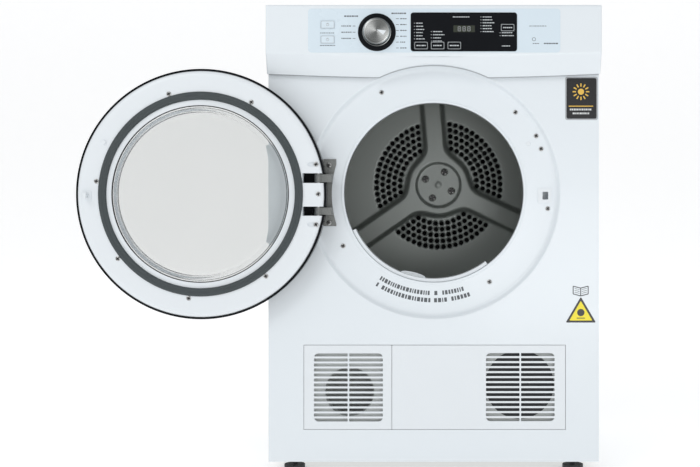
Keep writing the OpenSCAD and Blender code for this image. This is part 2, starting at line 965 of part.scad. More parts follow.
module door_switch() {
    color("ivory") difference() {
        box([160, 201], [floor_y + sheet, -234], [577, 617]);
        y_rod(switch_at, 4.15, [floor_y, -236.5]);
        for (p = switch_screws)
            y_rod(p, 2, [floor_y, floor_y + 8]);
    }
}

module switch_plunger() {
    color("ghostwhite") y_rod(switch_at, 4, [floor_y - 1.5, -242]);
}

// Screws of the front: recess, door switch and hinge bracket; then those of the rear panel
module panel_screws() {
    color("gray") {
        for (p = concat(recess_screw_points(), switch_screws))
            screw(p, floor_y, 4.2, 2, 7.5);
        for (p = bracket_screws)
            screw(p, floor_y - bracket_t, 4.2, 2, 7.5);
        for (p = rear_screws)
            translate([0, 2 * rear_y, 0]) mirror([0, 1, 0]) screw(p, rear_y, 4.2, 2, 1.2);
    }
}

base_tray();
rear_feet();
front_foot_left();
front_foot_right();
side_panel_left();
side_panel_right();
rear_panel();
top_panel();
front_panel();
service_plate();
vent_cover_left();
vent_cover_right();
console_shell();
fascia();
display_window();
control_board();
knob_bezel();
knob();
power_key();
child_lock_key();
time_key();
option_key();
temperature_key();
start_key();
front_bulkhead();
felt_seal();
filter_housing();
filter_frame();
filter_mesh();
drum_shell();
drum_back();
drum_lifters();
drum_shaft();
hub_screws();
rear_bulkhead();
rear_bearing();
heater_duct();
heater_coil();
blower_housing();
impeller();
motor_housing();
motor_rotor();
drive_belt();
idler_arm();
idler_pulley();
idler_spring();
hinge_bracket();
hinge_pins();
door_frame();
door_outer_ring();
door_window();
glass_bowl();
door_gasket();
door_striker();
door_screws();
latch_housing();
latch_jaw();
door_switch();
switch_plunger();
panel_screws();
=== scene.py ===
import json
import math

import bmesh
import bpy
import numpy as np
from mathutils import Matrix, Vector
from mathutils.geometry import delaunay_2d_cdt


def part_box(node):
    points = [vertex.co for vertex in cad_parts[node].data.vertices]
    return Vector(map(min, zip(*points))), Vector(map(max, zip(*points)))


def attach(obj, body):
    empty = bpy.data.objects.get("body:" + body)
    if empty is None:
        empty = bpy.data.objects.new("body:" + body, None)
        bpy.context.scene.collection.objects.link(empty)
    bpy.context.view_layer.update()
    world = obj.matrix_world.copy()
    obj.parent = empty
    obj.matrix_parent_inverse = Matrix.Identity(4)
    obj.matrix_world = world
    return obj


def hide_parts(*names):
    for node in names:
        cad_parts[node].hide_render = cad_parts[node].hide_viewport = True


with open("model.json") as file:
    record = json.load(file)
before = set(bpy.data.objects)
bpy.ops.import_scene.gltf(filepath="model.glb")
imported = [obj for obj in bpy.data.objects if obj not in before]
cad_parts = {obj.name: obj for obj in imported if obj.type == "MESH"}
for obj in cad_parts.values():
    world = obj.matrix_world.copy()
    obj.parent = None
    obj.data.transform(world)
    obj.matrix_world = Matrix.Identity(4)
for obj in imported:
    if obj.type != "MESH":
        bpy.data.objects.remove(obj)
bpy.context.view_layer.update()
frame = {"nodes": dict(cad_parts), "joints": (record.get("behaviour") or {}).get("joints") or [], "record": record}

NODES = frame["nodes"]
RECORD = frame["record"]
SLOT_OF = {part["node"]: part["material_slot"] for part in RECORD["subparts"]}
BODY_OF = {node: body for body, nodes in RECORD["behaviour"]["bodies"].items() for node in nodes}
JOINTS = {joint["name"]: joint for joint in frame["joints"]}
MM = 0.001


# ---- camera

def add_camera():
    """Looks straight at the front; the shift keeps the upright edges parallel and frames the open door."""
    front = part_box("front_panel")[0].y
    distance = 2.3
    frame_width = 1.26
    data = bpy.data.cameras.new("front_view")
    camera = bpy.data.objects.new("front_view", data)
    bpy.context.scene.collection.objects.link(camera)
    camera.location = (0.0005, front - distance, 0.4832)
    camera.rotation_euler = (math.radians(90), 0, 0)
    data.sensor_width = 36
    data.lens = data.sensor_width * distance / frame_width
    data.shift_x = -0.12
    data.shift_y = -0.04
    bpy.context.scene.camera = camera


add_camera()


# ---- places read from the frame

FRONT_LOW, FRONT_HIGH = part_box("front_panel")
BOWL_LOW, BOWL_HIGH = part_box("glass_bowl")
DRUM_LOW, DRUM_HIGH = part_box("drum_back")
KNOB_LOW, KNOB_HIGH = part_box("knob")
HINGE = Vector(JOINTS["door_hinge"]["pos_m"])
DRUM_AXIS = Vector(JOINTS["drum_spin"]["pos_m"])
DOOR_MID = ((BOWL_LOW.x + BOWL_HIGH.x) / 2, (BOWL_LOW.z + BOWL_HIGH.z) / 2)
PORT_MID = (0.0, 0.5065)
FRONT_Y = FRONT_LOW.y
RECESS_Y = FRONT_Y + 9 * MM
SCALLOP_R = 228.6 * MM


# ---- shader groups

def new_group(name, inputs, outputs):
    """Empty shader group with named sockets: inputs are (name, kind, value), outputs are (name, kind)."""
    group = bpy.data.node_groups.new(name, "ShaderNodeTree")
    for label, kind, value in inputs:
        socket = group.interface.new_socket(label, in_out="INPUT", socket_type="NodeSocket" + kind)
        socket.default_value = value
    for label, kind in outputs:
        group.interface.new_socket(label, in_out="OUTPUT", socket_type="NodeSocket" + kind)
    return group, group.nodes.new("NodeGroupInput"), group.nodes.new("NodeGroupOutput")


def link(tree, source, target):
    tree.links.new(source, target)


def add_node(tree, kind, **settings):
    """One shader node; settings named after a socket set its value, others are the node's own."""
    node = tree.nodes.new("ShaderNode" + kind)
    for key, value in settings.items():
        label = key.replace("_", " ")
        if label in node.inputs:
            node.inputs[label].default_value = value
        else:
            setattr(node, key, value)
    return node


def math_node(tree, operation, a, b=None, clamp=False):
    """A Math node whose operands are sockets or numbers."""
    node = tree.nodes.new("ShaderNodeMath")
    node.operation = operation
    node.use_clamp = clamp
    for socket, value in zip(node.inputs, (a, b)):
        if value is None:
            continue
        if isinstance(value, (int, float)):
            socket.default_value = value
        else:
            link(tree, value, socket)
    return node.outputs[0]


def blend_colour(tree, factor, a, b):
    """Colour a where factor is 0 and b where it is 1."""
    node = tree.nodes.new("ShaderNodeMix")
    node.data_type = "RGBA"
    link(tree, factor, node.inputs["Factor"])
    for socket, value in ((node.inputs["A"], a), (node.inputs["B"], b)):
        if isinstance(value, (tuple, list)):
            socket.default_value = value
        else:
            link(tree, value, socket)
    return node.outputs["Result"]


def vary_roughness(group, given, noise, result):
    """Roughness of a group: the given value plus the noise about its middle times the given spread."""
    lean = math_node(group, "SUBTRACT", noise.outputs["Fac"], 0.5)
    spread = math_node(group, "MULTIPLY", lean, given.outputs["Roughness Spread"])
    rough = math_node(group, "ADD", given.outputs["Roughness"], spread, clamp=True)
    link(group, rough, result.inputs["Roughness"])


def offset_from_middle(group, given):
    """Place of the shaded point relative to the group's Middle input."""
    place = add_node(group, "TexCoord").outputs["Object"]
    offset = add_node(group, "VectorMath", operation="SUBTRACT")
    link(group, place, offset.inputs[0])
    link(group, given.outputs["Middle"], offset.inputs[1])
    return offset.outputs[0]


def make_surface_group():
    """Handling marks: a cloudy mask shifts colour and roughness a little; fine grain is the height."""
    group, given, result = new_group(
        "surface_variation",
        [("Colour", "Color", (1, 1, 1, 1)), ("Worn Colour", "Color", (1, 1, 1, 1)),
         ("Cloud Scale", "Float", 6.0), ("Cloud Amount", "Float", 0.3),
         ("Grain Scale", "Float", 900.0), ("Roughness", "Float", 0.3), ("Roughness Spread", "Float", 0.08)],
        [("Colour", "Color"), ("Roughness", "Float"), ("Height", "Float")])
    place = add_node(group, "TexCoord").outputs["Object"]
    cloud = add_node(group, "TexNoise", Detail=5.0, Roughness=0.62)
    grain = add_node(group, "TexNoise", Detail=2.0, Roughness=0.5)
    for noise, scale in ((cloud, "Cloud Scale"), (grain, "Grain Scale")):
        link(group, place, noise.inputs["Vector"])
        link(group, given.outputs[scale], noise.inputs["Scale"])
    mask = add_node(group, "MapRange", From_Min=0.35, From_Max=0.75)
    link(group, cloud.outputs["Fac"], mask.inputs["Value"])
    amount = math_node(group, "MULTIPLY", mask.outputs["Result"], given.outputs["Cloud Amount"], clamp=True)
    colour = blend_colour(group, amount, given.outputs["Colour"], given.outputs["Worn Colour"])
    link(group, colour, result.inputs["Colour"])
    vary_roughness(group, given, cloud, result)
    link(group, grain.outputs["Fac"], result.inputs["Height"])
    return group


def make_brushed_group():
    """Brushing: noise squeezed along one axis gives long streaks, as height and as a roughness change."""
    group, given, result = new_group(
        "brushed_lines",
        [("Stretch", "Vector", (60.0, 60.0, 2.0)), ("Scale", "Float", 20.0),
         ("Roughness", "Float", 0.3), ("Roughness Spread", "Float", 0.2)],
        [("Roughness", "Float"), ("Height", "Float"), ("Streak", "Float")])
    place = add_node(group, "TexCoord").outputs["Object"]
    squeeze = add_node(group, "VectorMath", operation="MULTIPLY")
    link(group, place, squeeze.inputs[0])
    link(group, given.outputs["Stretch"], squeeze.inputs[1])
    noise = add_node(group, "TexNoise", Detail=4.0, Roughness=0.65)
    link(group, squeeze.outputs[0], noise.inputs["Vector"])
    link(group, given.outputs["Scale"], noise.inputs["Scale"])
    vary_roughness(group, given, noise, result)
    link(group, noise.outputs["Fac"], result.inputs["Height"])
    link(group, noise.outputs["Fac"], result.inputs["Streak"])
    return group


def make_turned_group():
    """Lathe marks: fine rings by distance from an axis along Y, broken up by noise."""
    group, given, result = new_group(
        "turned_rings",
        [("Middle", "Vector", (0, 0, 0)), ("Rings per Metre", "Float", 2500.0),
         ("Roughness", "Float", 0.28), ("Roughness Spread", "Float", 0.15)],
        [("Roughness", "Float"), ("Height", "Float")])
    offset = offset_from_middle(group, given)
    flat = add_node(group, "VectorMath", operation="MULTIPLY")
    link(group, offset, flat.inputs[0])
    flat.inputs[1].default_value = (1, 0, 1)
    radius = add_node(group, "VectorMath", operation="LENGTH")
    link(group, flat.outputs[0], radius.inputs[0])
    ring = math_node(group, "MULTIPLY", radius.outputs["Value"], given.outputs["Rings per Metre"])
    noise = add_node(group, "TexNoise", Detail=3.0, Scale=1.0)
    noise.noise_dimensions = "1D"
    link(group, ring, noise.inputs["W"])
    vary_roughness(group, given, noise, result)
    link(group, noise.outputs["Fac"], result.inputs["Height"])
    return group


def make_painted_sheen_group():
    """Painted reflection of a turned face, as a colour mask: 0.5 + 0.5 cos(2 a + lean) of the angle a about an
    axis along Y, sharpened.
    """
    group, given, result = new_group("painted_turned_sheen", [("Middle", "Vector", (0, 0, 0)), ("Lean", "Float", 0.9)],
                                     [("Painted Sheen", "Float")])
    offset = offset_from_middle(group, given)
    parts = add_node(group, "SeparateXYZ")
    link(group, offset, parts.inputs[0])
    angle = math_node(group, "ARCTAN2", parts.outputs["Z"], parts.outputs["X"])
    double = math_node(group, "MULTIPLY", angle, 2.0)
    leaning = math_node(group, "ADD", double, given.outputs["Lean"])
    wave = math_node(group, "COSINE", leaning)
    half = math_node(group, "MULTIPLY", wave, 0.5)
    level = math_node(group, "ADD", half, 0.5)
    sharp = math_node(group, "POWER", level, 1.6)
    link(group, sharp, result.inputs["Painted Sheen"])
    return group


SURFACE = make_surface_group()
BRUSHED = make_brushed_group()
TURNED = make_turned_group()
PAINTED_SHEEN = make_painted_sheen_group()


# ---- materials

def new_material(name, **constants):
    """Material with one Principled shader; constants are set on its own sockets."""
    material = bpy.data.materials.new(name)
    material.use_nodes = True
    shader = material.node_tree.nodes["Principled BSDF"]
    for key, value in constants.items():
        shader.inputs[key.replace("_", " ")].default_value = value
    return material, material.node_tree, shader


def place_group(tree, group, **values):
    node = tree.nodes.new("ShaderNodeGroup")
    node.node_tree = group
    for key, value in values.items():
        node.inputs[key.replace("_", " ")].default_value = value
    return node


def bump(tree, shader, height, strength, distance):
    """A Bump node on the shader's normal."""
    node = add_node(tree, "Bump", Strength=strength, Distance=distance)
    link(tree, height, node.inputs["Height"])
    link(tree, node.outputs["Normal"], shader.inputs["Normal"])


def dress(tree, shader, look, colour, strength, distance):
    """Connects a colour, and a look's roughness and height, to a shader."""
    link(tree, colour, shader.inputs["Base Color"])
    link(tree, look.outputs["Roughness"], shader.inputs["Roughness"])
    bump(tree, shader, look.outputs["Height"], strength, distance)


def colour4(r, g, b):
    return (r, g, b, 1.0)


def coated(name, colour, worn, roughness, spread=0.08, cloud=5.0, amount=0.35, grain=700.0, depth=0.00004,
           strength=0.25, **constants):
    """Paint or moulded plastic: cloudy colour and roughness, with a fine grain."""
    material, tree, shader = new_material(name, **constants)
    look = place_group(tree, SURFACE, Colour=colour4(*colour),
                       Worn_Colour=colour4(*worn), Cloud_Scale=cloud, Cloud_Amount=amount,
                       Grain_Scale=grain, Roughness=roughness, Roughness_Spread=spread)
    dress(tree, shader, look, look.outputs["Colour"], strength, depth)
    return material


def metal(name, colour, dark, roughness, stretch=(60.0, 60.0, 2.0), scale=20.0, spread=0.2, depth=0.00002,
          metallic=1.0, strength=0.3):
    """Brushed or rolled metal whose streaks also darken the colour."""
    material, tree, shader = new_material(name, Metallic=metallic)
    look = place_group(tree, BRUSHED, Stretch=stretch, Scale=scale,
                       Roughness=roughness, Roughness_Spread=spread)
    colour = blend_colour(tree, look.outputs["Streak"], colour4(*dark), colour4(*colour))
    dress(tree, shader, look, colour, strength, depth)
    return material


def glass_material():
    """Clear pressed glass with the faintest ripple; shadow and bounce rays pass straight through it."""
    material, tree, shader = new_material("clear_glass", Metallic=0.0, Transmission_Weight=1.0, IOR=1.10)
    path = add_node(tree, "LightPath")
    passes = math_node(tree, "MAXIMUM", path.outputs["Is Shadow Ray"], path.outputs["Is Diffuse Ray"])
    clear = add_node(tree, "BsdfTransparent", Color=colour4(0.99, 0.99, 0.99))
    mix = add_node(tree, "MixShader")
    link(tree, passes, mix.inputs[0])
    link(tree, shader.outputs[0], mix.inputs[1])
    link(tree, clear.outputs[0], mix.inputs[2])
    link(tree, mix.outputs[0], tree.nodes["Material Output"].inputs["Surface"])
    look = place_group(tree, SURFACE, Colour=colour4(0.865, 0.87, 0.865),
                       Worn_Colour=colour4(0.845, 0.855, 0.85),
                       Cloud_Scale=8.0, Cloud_Amount=0.5, Grain_Scale=9.0,
                      Roughness=0.0, Roughness_Spread=0.01)
    dress(tree, shader, look, look.outputs["Colour"], 0.002, 0.00005)
    return material


def turned_material(name, middle, dark, light, roughness):
    """Turned metal round an axis along Y, whose colour is blended between dark and light by fans of painted
    reflection.
    """
    material, tree, shader = new_material(name, Metallic=1.0)
    look = place_group(tree, TURNED, Middle=middle, Roughness=roughness)
    painted_sheen = place_group(tree, PAINTED_SHEEN, Middle=middle)
    colour = blend_colour(tree, painted_sheen.outputs["Painted Sheen"], colour4(*dark), colour4(*light))
    dress(tree, shader, look, colour, 0.35, 0.00003)
    return material


def net_material():
    """Filter net: two crossed wave patterns make pale threads over darker gaps."""
    material, tree, shader = new_material("filter_net", Roughness=0.6)
    place = add_node(tree, "TexCoord").outputs["Object"]
    threads = []
    for direction in ("X", "Z"):
        wave = add_node(tree, "TexWave", Scale=160.0, bands_direction=direction)
        link(tree, place, wave.inputs["Vector"])
        threads.append(wave.outputs["Fac"])
    top = math_node(tree, "MAXIMUM", *threads)
    colour = blend_colour(tree, top, colour4(0.16, 0.19, 0.22), colour4(0.62, 0.68, 0.74))
    link(tree, colour, shader.inputs["Base Color"])
    bump(tree, shader, top, 0.6, 0.0004)
    return material


def felt_material():
    """Felt: dense fibres as tangled fine noise."""
    material, tree, shader = new_material("felt", Sheen_Weight=0.4)
    look = place_group(tree, SURFACE, Colour=colour4(0.42, 0.37, 0.28), Worn_Colour=colour4(0.30, 0.27, 0.22),
                       Cloud_Scale=60.0, Cloud_Amount=0.8, Grain_Scale=900.0,
                      Roughness=0.95, Roughness_Spread=0.05)
    dress(tree, shader, look, look.outputs["Colour"], 0.9, 0.0006)
    return material


KNOB_MID = ((KNOB_LOW.x + KNOB_HIGH.x) / 2, 0.0, (KNOB_LOW.z + KNOB_HIGH.z) / 2)
WHITE = (0.80, 0.85, 0.885)
LOOKS = {
    "white_paint": coated("white_enamel", WHITE, (0.775, 0.825, 0.865), 0.30, grain=420.0, depth=0.00006,
                          Coat_Weight=0.25, Coat_Roughness=0.12),
    "white_plastic": coated("white_moulding", (0.80, 0.84, 0.87), (0.775, 0.815, 0.845), 0.34,
                            grain=1500.0, depth=0.00002),
    "fascia_plastic": coated("pale_fascia", (0.70, 0.80, 0.87), (0.685, 0.785, 0.855), 0.28,
                             grain=2500.0, depth=0.00001),
    "black_gloss": coated("black_gloss", (0.009, 0.010, 0.012), (0.014, 0.015, 0.017), 0.10,
                          spread=0.05, grain=1200.0, depth=0.00001, Specular_IOR_Level=0.04),
    "dark_plastic": coated("dark_moulding", (0.022, 0.024, 0.027), (0.035, 0.037, 0.040), 0.55,
                           grain=1100.0, depth=0.00008),
    "galvanised": metal("zinc_sheet", (0.66, 0.68, 0.69), (0.50, 0.52, 0.54), 0.38,
                        stretch=(7.0, 9.0, 8.0), scale=6.0),
    "drum_steel": metal("drum_coating", (0.40, 0.425, 0.405), (0.35, 0.375, 0.36), 0.42,
                        stretch=(30.0, 30.0, 30.0), scale=30.0, spread=0.10, metallic=0.6),
    "gasket_rubber": coated("gasket_rubber", (0.048, 0.060, 0.064), (0.062, 0.074, 0.078), 0.62,
                            cloud=30.0, grain=1400.0, depth=0.00010),
    "clear_glass": glass_material(),
    # The knob's dark and light colours are the two ends of its painted reflection fans.
    "knob_metal": turned_material("turned_knob", KNOB_MID, (0.20, 0.205, 0.20),
                                  (0.72, 0.73, 0.715), 0.26),
    "screw_steel": metal("zinc_plated", (0.66, 0.66, 0.65), (0.42, 0.42, 0.41), 0.35,
                         stretch=(90.0, 90.0, 90.0), scale=10.0),
    "hinge_casting": metal("die_casting", (0.36, 0.37, 0.36), (0.12, 0.125, 0.12), 0.50,
                           stretch=(30.0, 30.0, 30.0), scale=14.0, depth=0.0001, metallic=0.85, strength=0.6),
    "circuit_board": coated("board_lacquer", (0.02, 0.13, 0.06), (0.03, 0.17, 0.08), 0.35),
    "felt": felt_material(),
    "filter_net": net_material(),
    "bearing_bronze": metal("sintered_bronze", (0.60, 0.42, 0.18), (0.40, 0.27, 0.11), 0.42),
    "foot_plastic": coated("foot_moulding", (0.030, 0.031, 0.034), (0.05, 0.05, 0.055), 0.6),
    "motor_paint": coated("motor_paint", (0.10, 0.13, 0.16), (0.16, 0.18, 0.20), 0.42),
    "belt_rubber": coated("belt_rubber", (0.012, 0.012, 0.013), (0.03, 0.03, 0.03), 0.7),
    "heater_wire": metal("heated_steel", (0.42, 0.24, 0.15), (0.20, 0.14, 0.16), 0.45),
    "grey_plastic": coated("grey_moulding", (0.60, 0.62, 0.61), (0.52, 0.54, 0.53), 0.55),
}

# Near-black painted shade on the parts behind the drum.
PAINTED_SHADE_BLACK = coated("painted_shade_black", (0.012, 0.012, 0.013), (0.022, 0.021, 0.020), 0.7)
for node_name, node_object in NODES.items():
    node_object.data.materials.clear()
    behind_drum = node_name in ("rear_bulkhead", "heater_coil", "heater_duct", "drum_shaft")
    node_object.data.materials.append(PAINTED_SHADE_BLACK if behind_drum else LOOKS[SLOT_OF[node_name]])


# ---- mesh helpers

def raw_mesh(name, verts, faces):
    """Mesh data straight from an (n, 3) array and faces."""
    mesh = bpy.data.meshes.new(name)
    mesh.from_pydata(np.asarray(verts, float).tolist(), [], [list(map(int, face)) for face in faces])
    return mesh


def make_piece(name, verts, faces, material, body, stands_for=(), sharp=30.0, bevel=0.0):
    """Mesh piece from an (n, 3) array and faces, smooth up to the sharp angle, riding on a body."""
    mesh = raw_mesh(name, verts, faces)
    mesh.update()
    mesh.validate()
    return finish_piece(name, mesh, material, body, stands_for, sharp, bevel)


def finish_piece(name, mesh, material, body, stands_for=(), sharp=30.0, bevel=0.0):
    """Shading, material and body of a piece whose mesh is ready."""
    mesh.shade_smooth()
    mesh.set_sharp_from_angle(angle=math.radians(sharp))
    mesh.materials.clear()
    mesh.materials.append(material)
    piece = bpy.data.objects.new(name, mesh)
    bpy.context.scene.collection.objects.link(piece)
    if bevel:
        edge = piece.modifiers.new("edges", "BEVEL")
        edge.width = bevel
        edge.segments = 2
        edge.limit_method = "ANGLE"
        edge.angle_limit = math.radians(40)
        edge.harden_normals = True
    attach(piece, body)
    if stands_for:
        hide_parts(*stands_for)
    return piece


def stand_in(name, mesh, node, sharp=30.0, bevel=0.0, material=None):
    """Finished piece in place of a CAD node, on the node's body and with its slot."""
    look = material or LOOKS[SLOT_OF[node]]
    return finish_piece(name, mesh, look, BODY_OF[node], [node], sharp, bevel)


def merged_copy(node):
    """Copy of a CAD node's mesh with its triangles joined into flat faces."""
    mesh = NODES[node].data.copy()
    work = bmesh.new()
    work.from_mesh(mesh)
    bmesh.ops.remove_doubles(work, verts=work.verts, dist=1e-6)
    bmesh.ops.dissolve_limit(work, angle_limit=math.radians(0.4), verts=work.verts, edges=work.edges)
    work.to_mesh(mesh)
    work.free()
    if "custom_normal" in mesh.attributes:
        mesh.attributes.remove(mesh.attributes["custom_normal"])
    return mesh


def refined(node, bevel=0.0, sharp=30.0, material=None):
    """Merged copy in place of a CAD node, with smooth shading and softened edges."""
    return stand_in(node + "_skin", merged_copy(node), node, sharp, bevel, material)


def grid_faces(rows, columns, wrap):
    """Quads of a grid of rows by columns; wrap joins the last column to the first."""
    row, column = np.meshgrid(np.arange(rows - 1), np.arange(columns if wrap else columns - 1), indexing="ij")
    following = (column + 1) % columns
    quads = np.stack([row * columns + column, (row + 1) * columns + column,
                      (row + 1) * columns + following, row * columns + following], axis=-1)
    return quads.reshape(-1, 4)


def rounded_profile(points, radii, steps=5):
    """Polyline whose corner i is replaced by a quadratic curve that starts radii[i] before the corner."""
    points = np.asarray(points, float)
    result = []
    count = len(points)
    for i in range(count):
        corner, radius = points[i], radii[i]
        if radius == 0 or i in (0, count - 1):
            result.append(corner[None])
            continue
        into = corner - points[i - 1]
        out = points[i + 1] - corner
        start = corner - into / np.linalg.norm(into) * min(radius, np.linalg.norm(into) * 0.49)
        end = corner + out / np.linalg.norm(out) * min(radius, np.linalg.norm(out) * 0.49)
        t = np.linspace(0, 1, steps + 1)[:, None]
        result.append((1 - t) ** 2 * start + 2 * t * (1 - t) * corner + t ** 2 * end)
    return np.vstack(result)


def lathe(profile, middle, sides=256):
    """Profile of (radius, y) turned round the line along Y through middle:
    x = mx + r cos a, z = mz + r sin a."""
    profile = np.asarray(profile, float)
    angle = np.linspace(0, 2 * np.pi, sides, endpoint=False)
    radius, y = profile[:, 0][:, None], profile[:, 1][:, None]
    verts = np.stack([middle[0] + radius * np.cos(angle), y + 0 * angle,
                      middle[1] + radius * np.sin(angle)], -1)
    rows = len(profile)
    ring = np.arange(sides)
    following = (ring + 1) % sides
    last = (rows - 1) * sides
    closing = np.stack([last + ring, ring, following, last + following], -1)
    faces = np.vstack([grid_faces(rows, sides, True), closing])
    return verts.reshape(-1, 3), faces


def merged_mesh(name, verts, faces, distance=1e-6):
    """Mesh whose doubled points are joined and whose faces all point outwards."""
    mesh = raw_mesh(name, verts, faces)
    work = bmesh.new()
    work.from_mesh(mesh)
    bmesh.ops.remove_doubles(work, verts=work.verts, dist=distance)
    bmesh.ops.recalc_face_normals(work, faces=work.faces)
    work.to_mesh(mesh)
    work.free()
    return mesh


def turned_mesh(name, profile, middle, sides):
    """Turned profile as a mesh with its doubled points joined."""
    return merged_mesh(name, *lathe(profile, middle, sides))


def turned_piece(name, profile, middle, node, sides=256, sharp=35.0):
    """A closed turned solid in place of a CAD node."""
    return stand_in(name, turned_mesh(name, profile, middle, sides), node, sharp)


def circle_points(middle, radius, count):
    """Points (mx + r cos a, mz + r sin a) evenly round a circle."""
    angle = np.linspace(0, 2 * np.pi, count, endpoint=False)
    return np.stack([middle[0] + radius * np.cos(angle), middle[1] + radius * np.sin(angle)], -1)


def rectangle_points(x, z, radius=0.0, steps=4):
    """Rectangle from x[0], z[0] to x[1], z[1], anticlockwise, with quarter-circle corners."""
    if radius == 0:
        return np.array([(x[0], z[0]), (x[1], z[0]), (x[1], z[1]), (x[0], z[1])], float)
    quarter = np.linspace(0, np.pi / 2, steps + 1)
    corners = [(x[1] - radius, z[0] + radius, -np.pi / 2), (x[1] - radius, z[1] - radius, 0.0),
               (x[0] + radius, z[1] - radius, np.pi / 2), (x[0] + radius, z[0] + radius, np.pi)]
    return np.vstack([np.stack([cx + radius * np.cos(a + quarter), cz + radius * np.sin(a + quarter)], -1)
                      for cx, cz, a in corners])


def fill_outline(outline, holes=(), extra=None):
    """Triangles that fill an outline, less its holes, through any extra points. Returns points and faces."""
    loops = [np.asarray(outline, float)] + [np.asarray(hole, float) for hole in holes]
    points = np.vstack(loops)
    edges = []
    start = 0
    for loop in loops:
        index = np.arange(len(loop))
        edges += [(start + i, start + (i + 1) % len(loop)) for i in index]
        start += len(loop)
    if extra is not None:
        points = np.vstack([points, extra])
    found = delaunay_2d_cdt([Vector(p) for p in points], edges, [], 0, 1e-7)
    places = np.array([tuple(v) for v in found[0]])
    faces = np.array([f for f in found[2] if len(f) == 3])
    middles = places[faces].mean(axis=1)
    keep = inside(middles, loops[0])
    for hole in loops[1:]:
        keep &= ~inside(middles, hole)
    return places, faces[keep]


def inside(points, loop):
    """True for the points within a closed loop: a ray along +X crosses it an odd number of times."""
    low, high = loop.min(axis=0), loop.max(axis=0)
    near = np.flatnonzero(((points >= low) & (points <= high)).all(axis=1))
    result = np.zeros(len(points), bool)
    if len(near) == 0:
        return result
    px, pz = points[near, 0][:, None], points[near, 1][:, None]
    ax, az = loop[:, 0], loop[:, 1]
    bx, bz = np.roll(ax, -1), np.roll(az, -1)
    crosses = (az > pz) != (bz > pz)
    with np.errstate(divide="ignore", invalid="ignore"):
        at = ax + (pz - az) / (bz - az) * (bx - ax)
    result[near] = (crosses & (px < at)).sum(axis=1) % 2 == 1
    return result


def plate_mesh(name, outline, holes, y_front, y_back):
    """Flat plate in the XZ plane with holes: both faces and all the walls, as one closed mesh."""
    places, faces = fill_outline(outline, holes)
    count = len(places)
    front = np.stack([places[:, 0], np.full(count, y_front), places[:, 1]], -1)
    back = np.stack([places[:, 0], np.full(count, y_back), places[:, 1]], -1)
    walls = []
    tally = {}
    for face in faces:
        for a, b in zip(face, np.roll(face, -1)):
            tally[(a, b)] = True
    for a, b in tally:
        if (b, a) not in tally:
            walls.append((a, b, b + count, a + count))
    quads = [list(face) for face in faces] + [list(face[::-1] + count) for face in faces] + walls
    return merged_mesh(name, np.vstack([front, back]), quads)


def plate_piece(name, outline, holes, y_front, y_back, node, bevel=0.0,
                material=None, stands_for=True):
    """A flat plate that rides with a CAD node's body and may stand for the node."""
    mesh = plate_mesh(name, outline, holes, y_front, y_back)
    look = material or LOOKS[SLOT_OF[node]]
    return finish_piece(name, mesh, look, BODY_OF[node], [node] if stands_for else (),
                        bevel=bevel)


# ---- cutting and joining

def carve(mesh, cutters):
    """Mesh less each cutter mesh; the helper objects are removed again."""
    for cutter in cutters:
        target = bpy.data.objects.new("carve_target", mesh)
        tool = bpy.data.objects.new("carve_tool", cutter)
        for thing in (target, tool):
            bpy.context.scene.collection.objects.link(thing)
        cut = target.modifiers.new("cut", "BOOLEAN")
        cut.operation = "DIFFERENCE"
        cut.solver = "EXACT"
        cut.object = tool
        graph = bpy.context.evaluated_depsgraph_get()
        graph.update()
        mesh = bpy.data.meshes.new_from_object(target.evaluated_get(graph))
        bpy.data.objects.remove(target)
        bpy.data.objects.remove(tool)
    return mesh


def prism_mesh(outline, y_front, y_back):
    """Outline in X and Z carried from one Y to another."""
    return plate_mesh("prism", outline, [], y_front, y_back)


def box_mesh(low, high):
    """Closed box between two corners."""
    x, y, z = zip(low, high)
    verts = [(x[i], y[j], z[k]) for i in (0, 1) for j in (0, 1) for k in (0, 1)]
    faces = [(0, 1, 3, 2), (4, 6, 7, 5), (0, 4, 5, 1), (2, 3, 7, 6), (0, 2, 6, 4), (1, 5, 7, 3)]
    return merged_mesh("box", verts, faces)


def joined(meshes):
    """All meshes as one."""
    work = bmesh.new()
    for mesh in meshes:
        work.from_mesh(mesh)
    result = bpy.data.meshes.new("joined")
    work.to_mesh(result)
    work.free()
    return result


# ---- door

DOOR_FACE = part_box("door_gasket")[1].y
HINGE_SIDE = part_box("door_outer_ring")[1].x
ARM_SPANS = [(466.6 * MM, 479.7 * MM), (524.6 * MM, 538.8 * MM)]


def door_profile(points, radii, steps=5):
    """Profile of (radius, height above the door's inner face) in mm, as (radius, y) in metres."""
    shape = rounded_profile(points, radii, steps) * MM
    return np.stack([shape[:, 0], DOOR_FACE - shape[:, 1]], -1)


def hinge_slot_cutters():
    """Boxes of the two slots that the hinge arms swing through."""
    return [box_mesh((HINGE_SIDE - 42 * MM, DOOR_FACE - 0.01, low - 1.6 * MM),
                     (HINGE_SIDE + 0.01, DOOR_FACE + 30.5 * MM, high + 1.6 * MM)) for low, high in ARM_SPANS]


